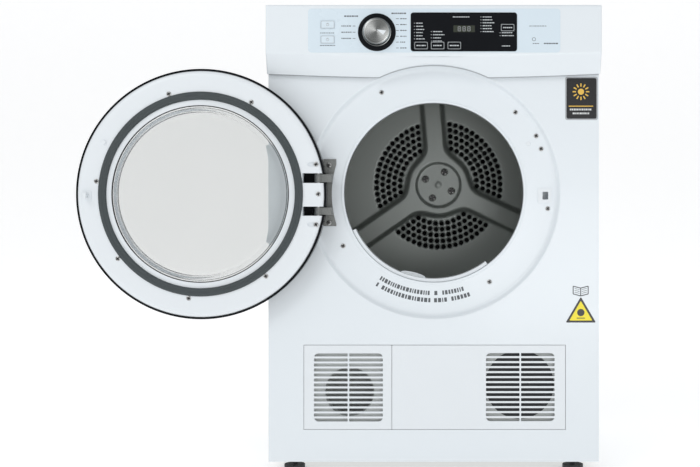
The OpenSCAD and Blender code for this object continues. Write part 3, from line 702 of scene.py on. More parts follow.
def build_door():
    """White inner frame, black outer ring, rubber gasket, glass bowl and window."""
    frame_points = [(156.5, 3.8), (166, 0), (212.5, 0), (218.4, -4), (218.4, -26),
                    (166, -26), (166, -4), (156.5, -4)]
    shape = door_profile(frame_points, [0, 1.5, 5, 3, 0, 0, 0, 0])
    mesh = turned_mesh("door_frame", shape, DOOR_MID, 320)
    grooves = [prism_mesh(rectangle_points((-223 * MM, -207 * MM),
                                           (z - 3.8 * MM, z + 3.8 * MM), 3.79 * MM, 6),
                          DOOR_FACE - 0.002, DOOR_FACE + 2.4 * MM) for z in (556 * MM, 449.5 * MM)]
    mesh = carve(mesh, hinge_slot_cutters() + grooves)
    stand_in("door_inner_frame", mesh, "door_frame", 28)

    ring_points = [(218.4, -3.4), (222, -5.2), (222, -35), (219, -38),
                   (157.5, -38), (157.5, -35.5), (162, -35.5),
                   (162, -30), (165, -30), (165, -35), (218.4, -35)]
    radii = [0, 1.4, 3, 2, 1, 0, 0, 0, 0, 0, 0]
    mesh = turned_mesh("door_ring", door_profile(ring_points, radii), DOOR_MID, 320)
    notch_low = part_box("door_outer_ring")[0].x
    notch = box_mesh((notch_low - 0.01, DOOR_FACE + 29.5 * MM, DOOR_MID[1] - 42 * MM),
                     (notch_low + 16 * MM, DOOR_FACE + 39 * MM, DOOR_MID[1] + 42 * MM))
    mesh = carve(mesh, hinge_slot_cutters() + [notch])
    stand_in("door_ring", mesh, "door_outer_ring", 28)

    gasket_points = [(166.5, 0), (166.5, 2), (169.5, 4.4), (173, 2.6), (176.5, 4.6), (181, 2.0), (181, 0)]
    shape = door_profile(gasket_points, [0, 1.2, 2.2, 2.2, 2.2, 1.2, 0], 6)
    turned_piece("door_seal", shape, DOOR_MID, "door_gasket", 320, 50)

    bowl_points = [(166, -4), (156, -4), (147, 22), (138, 30), (0, 30), (0, 25), (136, 25), (142, 20),
                   (150, -5), (150, -9), (166, -9)]
    shape = door_profile(bowl_points, [0, 4, 10, 7, 0, 0, 6, 8, 3, 0, 0], 7)
    turned_piece("glass_door_bowl", shape, DOOR_MID, "glass_bowl", 256, 40)

    bead = door_profile([(154.9, 2.6), (154.9, 4.4), (156.6, 4.4), (156.6, 2.6)], [0, 0.5, 0.5, 0], 4)
    mesh = turned_mesh("bowl_bead", bead, DOOR_MID, 256)
    finish_piece("bowl_bead", mesh, LOOKS["belt_rubber"], "door", sharp=50)
    pin = door_profile([(0, 3.2), (3.4, 3.2), (4, 2.6), (4, -1), (0, -1)], [0, 0.5, 0.5, 0, 0], 4)
    pin_at = (2 * HINGE.x - 171 * MM, 595 * MM)
    mesh = turned_mesh("switch_pin", pin, pin_at, 40)
    finish_piece("switch_pin", mesh, LOOKS["white_plastic"], "door", sharp=30)

    window_points = [(0, -32), (161.5, -32), (161.5, -35.5), (0, -35.5)]
    turned_piece("outer_window", door_profile(window_points, [0, 0.6, 0.6, 0]), DOOR_MID, "door_window", 256)


build_door()


# ---- front panel and loading port

def build_front_panel():
    """Flat sheet with the service opening, and the dished recess down to the lip of the loading port."""
    x = (FRONT_LOW.x, FRONT_HIGH.x)
    z = (FRONT_LOW.z, FRONT_HIGH.z)
    back = FRONT_Y + 1.2 * MM
    rim = 230 * MM
    cover_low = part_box("vent_cover_left")[0]
    cover_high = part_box("vent_cover_right")[1]
    gap = 0.8 * MM
    service = rectangle_points((cover_low.x - gap, cover_high.x + gap),
                               (cover_low.z - gap, cover_high.z + gap))
    sheet = plate_mesh("sheet", rectangle_points(x, z),
                       [circle_points(PORT_MID, rim, 240), service], FRONT_Y, back)
    # The recess turns down from the sheet, crosses its floor and ends in the lip of the port.
    dish = [(230.0, 0), (227.0, 0), (221.5, 9), (167.6, 9), (166.2, 8.1),
            (162.3, 8.1), (162.0, 16), (163.2, 16),
            (163.6, 10.2), (221.0, 10.2), (226.8, 1.2), (230.0, 1.2)]
    shape = rounded_profile(dish, [0, 3.0, 4.5, 0.8, 1.2, 1.5, 0, 0, 1, 4, 2, 0], 7) * MM
    shape[:, 1] += FRONT_Y
    port = merged_mesh("dish", *lathe(shape, PORT_MID, 240))
    latch_low, latch_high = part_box("latch_housing")
    latch = box_mesh((latch_low.x + 6.5 * MM, RECESS_Y - 0.004, latch_low.z + 2 * MM),
                     (latch_high.x - 0.5 * MM, RECESS_Y + 0.004, latch_high.z - 2 * MM))
    port = carve(port, [latch])
    mesh = joined([sheet, port])
    stand_in("front_sheet", mesh, "front_panel", 32)


build_front_panel()


# ---- drum back

def segment_distance(x, z, angle, reach):
    """Distance from points to a segment that starts at the middle and runs out at an angle."""
    along = np.clip(x * np.cos(angle) + z * np.sin(angle), 0, reach)
    return np.hypot(x - along * np.cos(angle), z - along * np.sin(angle))


def smooth_least(a, b, width):
    """Lesser of a and b, rounded where they are within width: a curve that bulges by width/4 at most."""
    share = np.clip((width - np.abs(a - b)) / width, 0, 1)
    return np.minimum(a, b) - share ** 2 * width / 4


def smooth_step(value):
    """3 v^2 - 2 v^3 for v held between 0 and 1."""
    value = np.clip(value, 0, 1)
    return value * value * (3 - 2 * value)


def arm_relief(x, z):
    """Rise in mm of the pressed arms and boss at points in mm from the drum axis.

    The outline is the smooth union of a disc and three bars; the rise goes smoothly from 0 to full
    across the pressed wall, and the hub sinks again inside its ring.
    """
    radius = np.hypot(x, z)
    outline = radius - 66
    for arm in range(3):
        bar = segment_distance(x, z, math.radians(94.7 + 120 * arm), 300) - 21.5
        outline = smooth_least(outline, bar, 26)
    rise = 9 * smooth_step((5 - outline) / 10)
    hub = 4 * smooth_step((48.5 - radius) / 3.5)
    dimple = 1.2 * smooth_step((7.5 - radius) / 3)
    return rise - hub + dimple


def air_holes():
    """Middles in mm of the air holes: staggered rows in each of the three windows between the arms."""
    holes = []
    keep = 31
    for radius in (82.5, 95, 107.5, 120, 132.5):
        half = 60 - math.degrees(math.asin(keep / radius))
        step = math.degrees(13 / radius)
        count = math.floor(2 * half / step)
        for window in range(3):
            for i in range(count + 1):
                angle = math.radians(154.7 + 120 * window + (i - count / 2) * step)
                holes.append((radius * math.cos(angle), radius * math.sin(angle)))
    return np.array(holes)


def build_drum_back():
    """Pressed drum end: a sheet through a fine grid of points, pierced by every air hole."""
    holes = air_holes()
    edge = 1000 * (DRUM_HIGH.x - DRUM_LOW.x) / 2
    step = 3.1
    line = np.arange(-edge, edge, step)
    gx, gz = np.meshgrid(line, line * 0.96)
    gx = gx + (np.arange(len(line))[:, None] % 2) * step / 2
    points = np.stack([gx.ravel(), gz.ravel()], -1)
    points = points[np.hypot(points[:, 0], points[:, 1]) < edge - 2]
    clear = np.ones(len(points), bool)
    for hole in holes:
        clear &= np.hypot(points[:, 0] - hole[0], points[:, 1] - hole[1]) > 5.6
    loops = [circle_points(hole, 4.4, 14) for hole in holes]
    places, faces = fill_outline(circle_points((0, 0), edge, 200), loops, points[clear])
    rise = arm_relief(places[:, 0], places[:, 1])
    for hole in holes:
        away = np.hypot(places[:, 0] - hole[0], places[:, 1] - hole[1])
        rise -= 0.7 * np.clip(1 - (away - 4.4) / 1.6, 0, 1) * (away < 6)
    face_y = 1000 * DRUM_HIGH.y - 1.5
    verts = np.stack([places[:, 0] / 1000 + DRUM_AXIS.x, (face_y - rise) / 1000,
                      places[:, 1] / 1000 + DRUM_AXIS.z], -1)
    piece = make_piece("drum_end", verts, faces[:, ::-1], LOOKS["drum_steel"],
                       "drum", ["drum_back"],
                       sharp=60)
    flip = piece.data.polygons[0].normal.y > 0
    if flip:
        piece.data.flip_normals()
    sheet = piece.modifiers.new("sheet", "SOLIDIFY")
    sheet.thickness = 1.2 * MM
    sheet.offset = -1


build_drum_back()


# ---- print inks, also used for painted shade

def print_material(name, colour, roughness=0.45):
    """Coated look of one even colour, for a printed mark or a mark of painted shade."""
    return coated(name, colour, colour, roughness, grain=1800.0, depth=0.00001)


INKS = {
    "grey": print_material("grey_print", (0.10, 0.11, 0.12)),
    "pale": print_material("pale_print", (0.62, 0.66, 0.68)),
    # The soft grey ink also paints the shade of the gap under the console.
    "soft": print_material("soft_grey_print_and_gap_shade", (0.42, 0.44, 0.46)),
    "glass": print_material("display_glass", (0.030, 0.036, 0.024), 0.15),
    # The black ink also paints the shade in the screw heads' crosses.
    "black": print_material("badge_black_and_cross_shade", (0.012, 0.012, 0.013), 0.25),
    "amber": print_material("badge_amber", (0.80, 0.50, 0.08), 0.4),
    "yellow": print_material("sign_yellow", (0.95, 0.80, 0.05), 0.4),
    "paper": print_material("label_paper", (0.70, 0.72, 0.72), 0.5),
}


# ---- console

CONSOLE_LOW, CONSOLE_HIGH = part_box("console_shell")
FASCIA_LOW, FASCIA_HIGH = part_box("fascia")
FASCIA_Y = FASCIA_LOW.y
DISPLAY_LOW, DISPLAY_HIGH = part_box("display_window")
DISPLAY_Y = DISPLAY_LOW.y


def console_edge(x):
    """Bowed lower edge, bottom + 7.1 mm u^2 - 5.7 mm with u = x over half the width; and that edge again,
    lifted onto the circle of the recess wherever the circle is higher."""
    edge = CONSOLE_LOW.z + (7.1 * (x / CONSOLE_HIGH.x) ** 2 - 5.7) * MM
    arch = PORT_MID[1] + np.sqrt(np.maximum(SCALLOP_R ** 2 - x ** 2, 0))
    return edge, np.maximum(edge, np.where(np.abs(x) < SCALLOP_R, arch, 0))


def build_console():
    """Console shell as a surface over x: the section's y and z shift with the crowned crease and the edge.

    crease(x) = ends - 5.4 mm (1 - u^2) with u = x over half the width. The last few mm at each end turn back
    in a quarter circle. Below the crease the face leans back, 19 mm by the time it reaches the edge.
    """
    half = CONSOLE_HIGH.x
    face = CONSOLE_LOW.y
    back = CONSOLE_HIGH.y
    top = CONSOLE_HIGH.z
    corner = 3.0 * MM
    ends = np.sin(np.linspace(0, np.pi / 2, 6))[:-1] * corner
    x = np.concatenate([-half + corner - ends[::-1] - 1e-4, np.linspace(-half + corner, half - corner, 180),
                        half - corner + ends + 1e-4])
    u = np.clip(np.abs(x) / half, 0, 1)
    crown = 5.4 * MM * (1 - u ** 2)
    crease = 754.6 * MM - crown
    edge, low = console_edge(x)
    slope = 19 * MM / (crease - edge)
    low_y = face + (crease - low) * slope
    over = np.maximum(np.abs(x) - (half - corner), 0)
    turn = corner - np.sqrt(np.maximum(corner ** 2 - over ** 2, 0))
    rows = [(back + 0 * x, low), (low_y + 1.2 * MM, low),
            (low_y + 0.3 * MM, low + 0.3 * MM), (low_y, low + 1.2 * MM)]
    for share in np.linspace(0.1, 1, 10)[:-1]:
        z = low + 1.2 * MM + (crease - low - 1.2 * MM) * share
        rows.append((face + (crease - z) * slope, z))
    soft = 2.2 * MM
    for t in np.linspace(0, 1, 6):
        below = (face + soft * slope, crease - soft)
        above = (face + 0 * x, crease + soft)
        y = (1 - t) ** 2 * below[0] + 2 * t * (1 - t) * face + t ** 2 * above[0]
        z = (1 - t) ** 2 * below[1] + 2 * t * (1 - t) * crease + t ** 2 * above[1]
        rows.append((y, z))
    for share in np.linspace(0, 1, 8)[1:]:
        rows.append((face + 0 * x, crease + soft + (top - 4 * MM - crease - soft) * share))
    for a in np.linspace(0, np.pi / 2, 7)[1:]:
        rows.append((face + 4 * MM * (1 - np.cos(a)) + 0 * x, top - 4 * MM + 4 * MM * np.sin(a) + 0 * x))
    rows.append((back + 0 * x, top + 0 * x))
    y = np.array([np.minimum(row[0] + turn, back) for row in rows])
    z = np.array([row[1] for row in rows])
    verts = np.stack([x + 0 * y, y, z], -1)
    count, columns = y.shape
    faces = [list(face_index) for face_index in grid_faces(count, columns, False)]
    faces += [[row * columns for row in range(count)]]
    faces += [[row * columns + columns - 1 for row in reversed(range(count))]]
    for column in range(columns - 1):
        faces.append([column, column + 1, (count - 1) * columns + column + 1, (count - 1) * columns + column])
    mesh = merged_mesh("console", verts.reshape(-1, 3), faces, 1e-7)
    window = rectangle_points((FASCIA_LOW.x + 4.5 * MM, FASCIA_HIGH.x - 4.5 * MM),
                              (FASCIA_LOW.z + 1.5 * MM, FASCIA_HIGH.z - 1.5 * MM), 6 * MM, 6)
    mesh = carve(mesh, [prism_mesh(window, face - 0.01, face + 12 * MM)])
    finish_piece("console_body", mesh, LOOKS["white_paint"], "cabinet", ["console_shell"],
                 sharp=34)


build_console()


def build_console_gap_shade():
    """Painted shade of the gap under the console's front edge: a thin grey strip that follows the bottom and the
    scallop.
    """
    half = CONSOLE_HIGH.x - 3 * MM
    x = np.linspace(-half, half, 240)
    low = console_edge(x)[1]
    outline = np.vstack([np.stack([x, low + 0.3 * MM], -1), np.stack([x, low - 1.0 * MM], -1)[::-1]])
    # The strip is painted shade of the gap, in soft grey ink.
    plate_piece("console_gap_shade", outline, [], CONSOLE_HIGH.y - 8 * MM, CONSOLE_HIGH.y, "console_shell",
                material=INKS["soft"], stands_for=False)


build_console_gap_shade()


# ---- fascia, display and keys

KEY_NODES = ["power_key", "child_lock_key", "time_key", "option_key", "temperature_key", "start_key"]


def key_outline(node, grow):
    """Rounded outline of a key's cap, grown by some mm."""
    low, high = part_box(node)
    side = 1.5 * MM - grow * MM
    return rectangle_points((low.x + side + 0.3 * MM, high.x - side - 0.3 * MM),
                            (low.z + side + 0.3 * MM, high.z - side - 0.3 * MM), 2 * MM + grow * MM, 5)


def build_fascia():
    """Control plate and gloss display plate, both pierced for the keys, and the keys themselves."""
    mid_x = (FASCIA_LOW.x + FASCIA_HIGH.x) / 2
    mid_z = (FASCIA_LOW.z + FASCIA_HIGH.z) / 2
    half = (224 * MM, 39 * MM)
    plate = rectangle_points((mid_x - half[0], mid_x + half[0]),
                             (mid_z - half[1], mid_z + half[1]), 6 * MM, 8)
    holes = [key_outline(node, 0.3) for node in KEY_NODES]
    holes.append(circle_points((KNOB_MID[0], KNOB_MID[2]), 3.6 * MM, 32))
    plate_piece("control_plate", plate, holes, FASCIA_Y, FASCIA_Y + 3.5 * MM, "fascia", bevel=0.5 * MM)
    glass = rectangle_points((DISPLAY_LOW.x, DISPLAY_HIGH.x), (DISPLAY_LOW.z, DISPLAY_HIGH.z), 5 * MM, 8)
    plate_piece("display_plate", glass, [key_outline(node, 0.3) for node in KEY_NODES[2:]], DISPLAY_Y,
                DISPLAY_Y + 0.8 * MM, "display_window", bevel=0.25 * MM)
    for node in KEY_NODES:
        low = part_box(node)[0]
        plate_piece(node + "_cap", key_outline(node, 0.0), [], low.y, low.y + 6 * MM, node, bevel=0.45 * MM)


build_fascia()


def build_knob():
    """Knob as turned profiles: skirt, bright bezel, brushed cap with a shallow dish, and a white wedge on the cap
    as painted highlight.
    """
    middle = (KNOB_MID[0], KNOB_MID[2])
    front = KNOB_LOW.y
    ring = rounded_profile([(4, -2), (29.8, -2), (33.6, -0.9), (33.6, 0), (4, 0)], [0, 1.2, 0.8, 0, 0]) * MM
    ring[:, 1] += FASCIA_Y
    turned_piece("knob_seat", ring, middle, "knob_bezel", 128)
    body = rounded_profile([(0, 1.1), (19.6, 1.1), (20.4, 0),
                            (22.2, 0.2), (23.4, 3.5), (24.2, 14), (25.5, 15),
                            (25.5, 17), (0, 17)], [0, 0.3, 0.6, 0.8, 1.5, 1, 0.6, 0, 0]) * MM
    body[:, 1] += front
    turned_piece("knob_body", body, middle, "knob", 160, 25)
    # The white wedge is painted highlight: the bright wedge of the cap's turned reflection.
    wedge = np.array([(0.6, 2.4), (11.8, -7.0), (17.0, 0.6)]) * MM + np.array(middle)
    plate_piece("knob_painted_highlight", wedge, [], front + 0.55 * MM, front + 1.2 * MM, "knob", bevel=0.15 * MM,
                material=LOOKS["white_plastic"], stands_for=False)


build_knob()


# ---- printed marks

INK_LAYER = 0.12 * MM
INK_SUNK = 0.05 * MM


def print_marks(name, outlines, y, ink):
    """Many small flat shapes of one ink, as thin slabs joined in one piece on the cabinet."""
    meshes = [plate_mesh("mark", outline, [], y - INK_LAYER, y + INK_SUNK) for outline in outlines]
    finish_piece(name, joined(meshes), INKS[ink], "cabinet")


def frame_outline(outline_points, width):
    """Outline shrunk about its middle by the width on every side."""
    middle = (outline_points.min(axis=0) + outline_points.max(axis=0)) / 2
    half = (outline_points.max(axis=0) - outline_points.min(axis=0)) / 2
    return middle + (outline_points - middle) * ((half - width) / half)


def around(x, z, radius, angle):
    """Point in mm at an angle in radians round a middle point."""
    return x + radius * math.cos(angle), z + radius * math.sin(angle)


def bar(x, z, width, height):
    """Rectangle in mm around a middle point."""
    return rectangle_points(((x - width / 2) * MM, (x + width / 2) * MM),
                            ((z - height / 2) * MM, (z + height / 2) * MM))


def stroke(start, end, width):
    """Straight stroke in mm between two points."""
    a, b = np.array(start, float), np.array(end, float)
    side = np.array([-(b - a)[1], (b - a)[0]]) / np.linalg.norm(b - a) * width / 2
    return np.array([a - side, b - side, b + side, a + side]) * MM


def dashes(x, z, width, seed, height=1.5):
    """A short row of dashes of uneven length that stands in for one line of print."""
    chance = np.random.default_rng(seed)
    marks = []
    at = x
    while at < x + width - 1.5:
        long = min(float(chance.uniform(1.6, 4.2)), x + width - at)
        marks.append(bar(at + long / 2, z, long, height))
        at += long + 0.9
    return marks


def build_prints():
    """Dashes in place of every printed line, key icons, the dial's ticks and the display's segments."""
    grey = []
    pale = []
    knob_x, knob_z = KNOB_MID[0] * 1000, KNOB_MID[2] * 1000
    for i in range(3):
        grey.append(bar(knob_x - 40.5, knob_z + 11 - 11 * i, 5, 0.9))
        grey += dashes(knob_x - 63, knob_z + 11 - 11 * i, 18, 30 + i, 1.7)
    for i in range(6):
        grey.append(bar(knob_x + 36.5, knob_z + 24 - 10.4 * i, 5, 0.9))
        grey += dashes(knob_x + 41.5, knob_z + 24 - 10.4 * i, 11, 40 + i, 1.7)
    grey += dashes(knob_x - 58, knob_z + 28.5, 26, 50, 2.4)
    grey += dashes(knob_x + 26, knob_z + 33.5, 26, 51, 2.4)
    for z in (780 + 9.6, 780 - 12.6):
        grey += dashes(-202, z, 27, int(z), 1.3)
    grey += dashes(170, 802, 30, 60, 1.2)
    grey += dashes(176, 771, 11, 61, 1.2) + dashes(196, 771, 26, 62, 2.2)
    grey += [stroke(around(178, 778.5, 3, a), around(178, 778.5, 3, a + 0.45), 0.7)
             for a in np.arange(0, 2 * np.pi, 0.42)]
    print_marks("dial_ticks_and_lines", grey, FASCIA_Y, "grey")
    columns = [(-31, 801, 15, 6, 5.6), (-1, 786, 20, 4, 5.6), (34, 812, 31, 1, 5.6), (87, 812, 21, 6, 5.2),
               (121, 784, 21, 2, 5.2), (121, 760.5, 16, 1, 5.2)]
    for number, (x, z, width, lines, pitch) in enumerate(columns):
        for i in range(lines):
            pale += dashes(x, z + 6 - pitch * i, width * (0.75 + 0.25 * ((i * 7 + number) % 3) / 2),
                           100 + number * 10 + i, 1.5)
            if lines > 1:
                pale.append(circle_points(((x - 3.2) * MM, (z + 6 - pitch * i) * MM), 0.65 * MM, 10))
    print_marks("display_lines", pale, DISPLAY_Y, "pale")
    panel = rectangle_points((35 * MM, 73 * MM), (791 * MM, 803 * MM), 1 * MM)
    print_marks("display_panel", [panel], DISPLAY_Y, "glass")
    segments = []
    for digit in range(3):
        x = 45.5 + 8.5 * digit
        for z in (793.2, 797.0, 800.8):
            segments.append(bar(x, z, 3.6, 0.7))
        for side in (-2.4, 2.4):
            for z in (795.1, 798.9):
                segments.append(bar(x + side, z, 0.7, 2.6))
    print_marks("display_digits", segments, DISPLAY_Y - INK_LAYER, "soft")


build_prints()


def build_key_prints():
    """A thin band round each key and a small mark on it; the marks move with the key."""
    for node in KEY_NODES:
        outline = key_outline(node, 0.0)
        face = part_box(node)[0].y
        layer = (face - 0.1 * MM, face + INK_SUNK)
        mid = (outline.min(axis=0) + outline.max(axis=0)) / 2 * 1000
        white = node in ("power_key", "child_lock_key")
        ink = "soft" if white else "pale"
        outer = frame_outline(outline, 0.9 * MM)
        marks = [plate_mesh("band", outer, [frame_outline(outline, 1.5 * MM)], *layer)]
        if white:
            hole = circle_points(mid * MM, 1.9 * MM, 28)
            marks.append(plate_mesh("ring", circle_points(mid * MM, 2.6 * MM, 28), [hole], *layer))
            lines = [bar(mid[0], mid[1] + 1.6, 0.8, 2.6)]
        else:
            lines = dashes(mid[0] - 8, mid[1], 16, int(mid[0]) + 200, 1.9)
        marks += [plate_mesh("mark", line, [], *layer) for line in lines]
        finish_piece(node + "_print", joined(marks), INKS[ink], BODY_OF[node])


build_key_prints()


# ---- vent covers

def grille_loops(x_low, x_high, z_low):
    """Slots of one grille in mm: rows either side of a middle bar, clipped by a rounded rectangle."""
    pitch, high, count, corner = 9.0, 5.6, 14, 8.0
    z_high = z_low + (count - 1) * pitch + high
    mid = (x_low + x_high) / 2
    loops = []
    for i in range(count):
        z = z_low + i * pitch + np.array([0, 0.6, 1.6, high - 1.6, high - 0.6, high])
        into = np.maximum(corner - np.minimum(z - z_low, z_high - z), 0)
        inset = corner - np.sqrt(np.maximum(corner ** 2 - into ** 2, 0))
        end = np.array([0.6, 0.1, 0, 0, 0.1, 0.6])
        outer = np.stack([x_low + np.maximum(inset, end), z], -1)
        inner = np.stack([mid - 1.35 - end, z], -1)
        left = np.vstack([inner, outer[::-1]])
        loops.append(left * MM)
        right = left.copy()
        right[:, 0] = 2 * mid - right[:, 0]
        loops.append(right * MM)
    return loops


def build_covers():
    """The two slotted covers low on the front."""
    for node, loops in (("vent_cover_left", grille_loops(-215.5, -91.6, 94.4)),
                        ("vent_cover_right", grille_loops(94, 217.6, 95))):
        low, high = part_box(node)
        outline = rectangle_points((low.x, high.x), (low.z, high.z), 1.2 * MM, 4)
        plate_piece(node + "_plate", outline, loops, low.y, low.y + 2.5 * MM, node, bevel=0.5 * MM)


build_covers()


# ---- screws

def cross_head(radius, height, turn):
    """Pan head in metres at the origin, facing -Y, with a sunk cross: height as a function of place.

    height = dome(r) - depth where the point lies within either arm of the cross.
    """
    rings = np.array([0, 0.18, 0.36, 0.50, 0.62, 0.74, 0.86, 0.94, 1.0]) * radius
    sides = 40
    angle = np.linspace(0, 2 * np.pi, sides, endpoint=False)
    r, a = np.meshgrid(rings, angle, indexing="ij")
    x, z = r * np.cos(a), r * np.sin(a)
    rise = height * np.sqrt(np.maximum(1 - (0.93 * r / radius) ** 2, 0))
    spun_x, spun_z = x * np.cos(turn) - z * np.sin(turn), x * np.sin(turn) + z * np.cos(turn)
    arm = np.minimum(np.abs(spun_x), np.abs(spun_z)) < 0.21 * radius
    sunk = arm & (r < 0.64 * radius)
    y = -rise + 0.95 * height * sunk
    y[-1] = 0
    verts = np.stack([x, y, z], -1).reshape(-1, 3)
    faces = [list(face) for face in grid_faces(len(rings), sides, True)]
    faces.append([(len(rings) - 1) * sides + i for i in range(sides)])
    return merged_mesh("head", verts, faces, 1e-7)


def build_screws():
    """Cross-head screws of the recess, switch, bracket and rear, and those of the door and the hub."""
    chance = np.random.default_rng(5)
    panel = [((0, PORT_MID[1]), a, r) for a, r in
             ((117.5, 204), (44.5, 207), (-8, 208), (-58, 190), (210.5, 190))]
    places = [spot(*item, RECESS_Y) for item in panel]
    places += [(x * MM, RECESS_Y, z * MM) for x, z in ((185, 609), (194, 585.5))]
    bracket_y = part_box("hinge_bracket")[1].y - 2.6 * MM
    places += [(-189 * MM, bracket_y, z * MM) for z in (556, 452)]
    heads, cross_shades = screw_heads(places, 4.4 * MM, 2.2 * MM, chance)
    rear_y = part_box("rear_panel")[1].y
    rear = [(x * MM, rear_y, z * MM) for x in (-280, 280) for z in (110, 330, 550, 770)]
    heads += screw_heads(rear, 4.2 * MM, 2.2 * MM, chance, -1)[0]
    screw_pieces("panel", heads, cross_shades)
    door = [(180 - a, 185.5) for a in (119, 72.4, 7, -38, -83.5, -128.5)]
    places = [spot(DOOR_MID, a, r, DOOR_FACE) for a, r in door]
    places += [(-208 * MM, DOOR_FACE, 556 * MM), (-208 * MM, DOOR_FACE, 449.5 * MM),
               (-204 * MM, DOOR_FACE, 503.5 * MM)]
    screw_pieces("door", *screw_heads(places, 4.4 * MM, 1.9 * MM, chance))
    hub_y = DRUM_HIGH.y - 6.5 * MM
    places = [spot((DRUM_AXIS.x, DRUM_AXIS.z), 65.5 + 90 * i, 30.5, hub_y) for i in range(4)]
    screw_pieces("hub", *screw_heads(places, 8.0 * MM, 3.0 * MM, chance))


def screw_pieces(place, heads, cross_shades):
    """One piece of heads and one of the painted shade in their crosses, on the body of that place's screws."""
    node = place + "_screws"
    stand_in(place + "_screw_heads", joined(heads), node, 24)
    finish_piece(place + "_screw_cross_shade", joined(cross_shades), INKS["black"], BODY_OF[node])


def spot(middle, angle, radius, y):
    """Place at an angle in degrees and a radius in mm about a middle."""
    a = math.radians(angle)
    return middle[0] + radius * MM * math.cos(a), y, middle[1] + radius * MM * math.sin(a)


def screw_heads(places, radius, height, chance, facing=1):
    """One head and one black cross of painted shade per place, each turned by chance; facing -1 points heads to
    the rear.
    """
    heads = []
    cross_shades = []
    arm, wide = 0.60 * radius, 0.19 * radius
    cross = np.array([(wide, wide), (wide, arm), (-wide, arm), (-wide, wide), (-arm, wide), (-arm, -wide),
                      (-wide, -wide), (-wide, -arm), (wide, -arm), (wide, -wide), (arm, -wide), (arm, wide)])
    for place in places:
        turn = float(chance.uniform(0, 1.5))
        head = cross_head(radius, height, turn)
        for vertex in head.vertices:
            vertex.co = Vector((vertex.co.x * facing, vertex.co.y * facing, vertex.co.z)) + Vector(place)
        heads.append(head)
        spun = cross @ np.array([(math.cos(turn), -math.sin(turn)), (math.sin(turn), math.cos(turn))])
        # Black cross of painted shade inside the head's sunk cross.
        cross_shades.append(plate_mesh("slot", spun + np.array([place[0], place[2]]), [], place[1] - 0.30 * height,
                                place[1]))
    return heads, cross_shades


build_screws()


# ---- refined copies

def build_filter():
    """Filter band and body with a lens-shaped, ribbed finger grip.

    The grip's inner edge is r(a) = 156.6 - 7 sqrt(1 - (a/8.6)^2) mm at a degrees from its middle.
    """
    mesh = merged_copy("filter_frame")
    low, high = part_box("filter_frame")
    mesh = carve(mesh, [prism_mesh(circle_points(PORT_MID, 155.9 * MM, 128), low.y - 0.01, high.y + 0.01)])
    stand_in("filter_body", mesh, "filter_frame", bevel=0.7 * MM)
    a = np.linspace(-8.6, 8.6, 41)
    edge = 156.6 - 7 * np.sqrt(1 - (a / 8.6) ** 2)
    turn = np.radians(256 + np.concatenate([a, a[::-1][1:-1]]))
    radius = np.concatenate([edge, np.full(len(a) - 2, 157.6)]) * MM
    lens = np.stack([np.cos(turn) * radius, np.sin(turn) * radius], -1) + np.array(PORT_MID)
    front = high.y - 11.6 * MM
    plate_piece("filter_grip", lens, [], front, high.y, "filter_frame", bevel=0.5 * MM, stands_for=False)
    ribs = []
    for at in np.linspace(-6.6, 6.6, 15):
        inner = 157.2 - 6.2 * math.sqrt(1 - (at / 8.6) ** 2)
        ends = [spot(PORT_MID, 256 + at + lean, r, 0) for r, lean in ((inner, 0.25), (156.6, -0.25))]
        ribs.append(stroke([1000 * ends[0][0], 1000 * ends[0][2]],
                           [1000 * ends[1][0], 1000 * ends[1][2]], 0.9))
    meshes = [plate_mesh("rib", rib, [], front - 0.6 * MM, front + 0.1 * MM) for rib in ribs]
    finish_piece("filter_grip_ribs", joined(meshes), INKS["paper"], "filter")


build_filter()


def build_latch_plate():
    """Thin frame over the latch opening that narrows it to the striker's size."""
    low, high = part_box("latch_housing")
    x, z = 201.5 * MM, 501 * MM
    outline = rectangle_points((low.x + 5 * MM, high.x), (low.z, high.z), 2.5 * MM, 5)
    hole = rectangle_points((x - 5.2 * MM, x + 5.2 * MM), (z - 7 * MM, z + 7 * MM), 1.5 * MM, 4)
    plate_piece("latch_frame", outline, [hole], low.y - 0.5 * MM, low.y + 0.5 * MM, "latch_housing",
                bevel=0.3 * MM, stands_for=False)


build_latch_plate()


def build_refined():
    """Softened copies of the small fittings and of the outside sheets."""
    soft = {
        "hinge_bracket": 0.9, "latch_housing": 0.6,
        "switch_plunger": 0.8, "top_panel": 1.2, "side_panel_left": 0.5, "side_panel_right": 0.5,
        "latch_jaw": 0.8, "front_foot_left": 0.8, "front_foot_right": 0.8, "rear_feet": 0.8,
        "drum_lifters": 0.0, "drum_shell": 0.0, "front_bulkhead": 0.0, "service_plate": 0.4,
        "motor_housing": 0.0, "rear_panel": 0.0, "hinge_pins": 0.4,
    }
    for node, bevel in soft.items():
        refined(node, bevel * MM)
    refined("door_striker", 0.5 * MM, material=LOOKS["white_plastic"])


build_refined()


# ---- labels on the cabinet

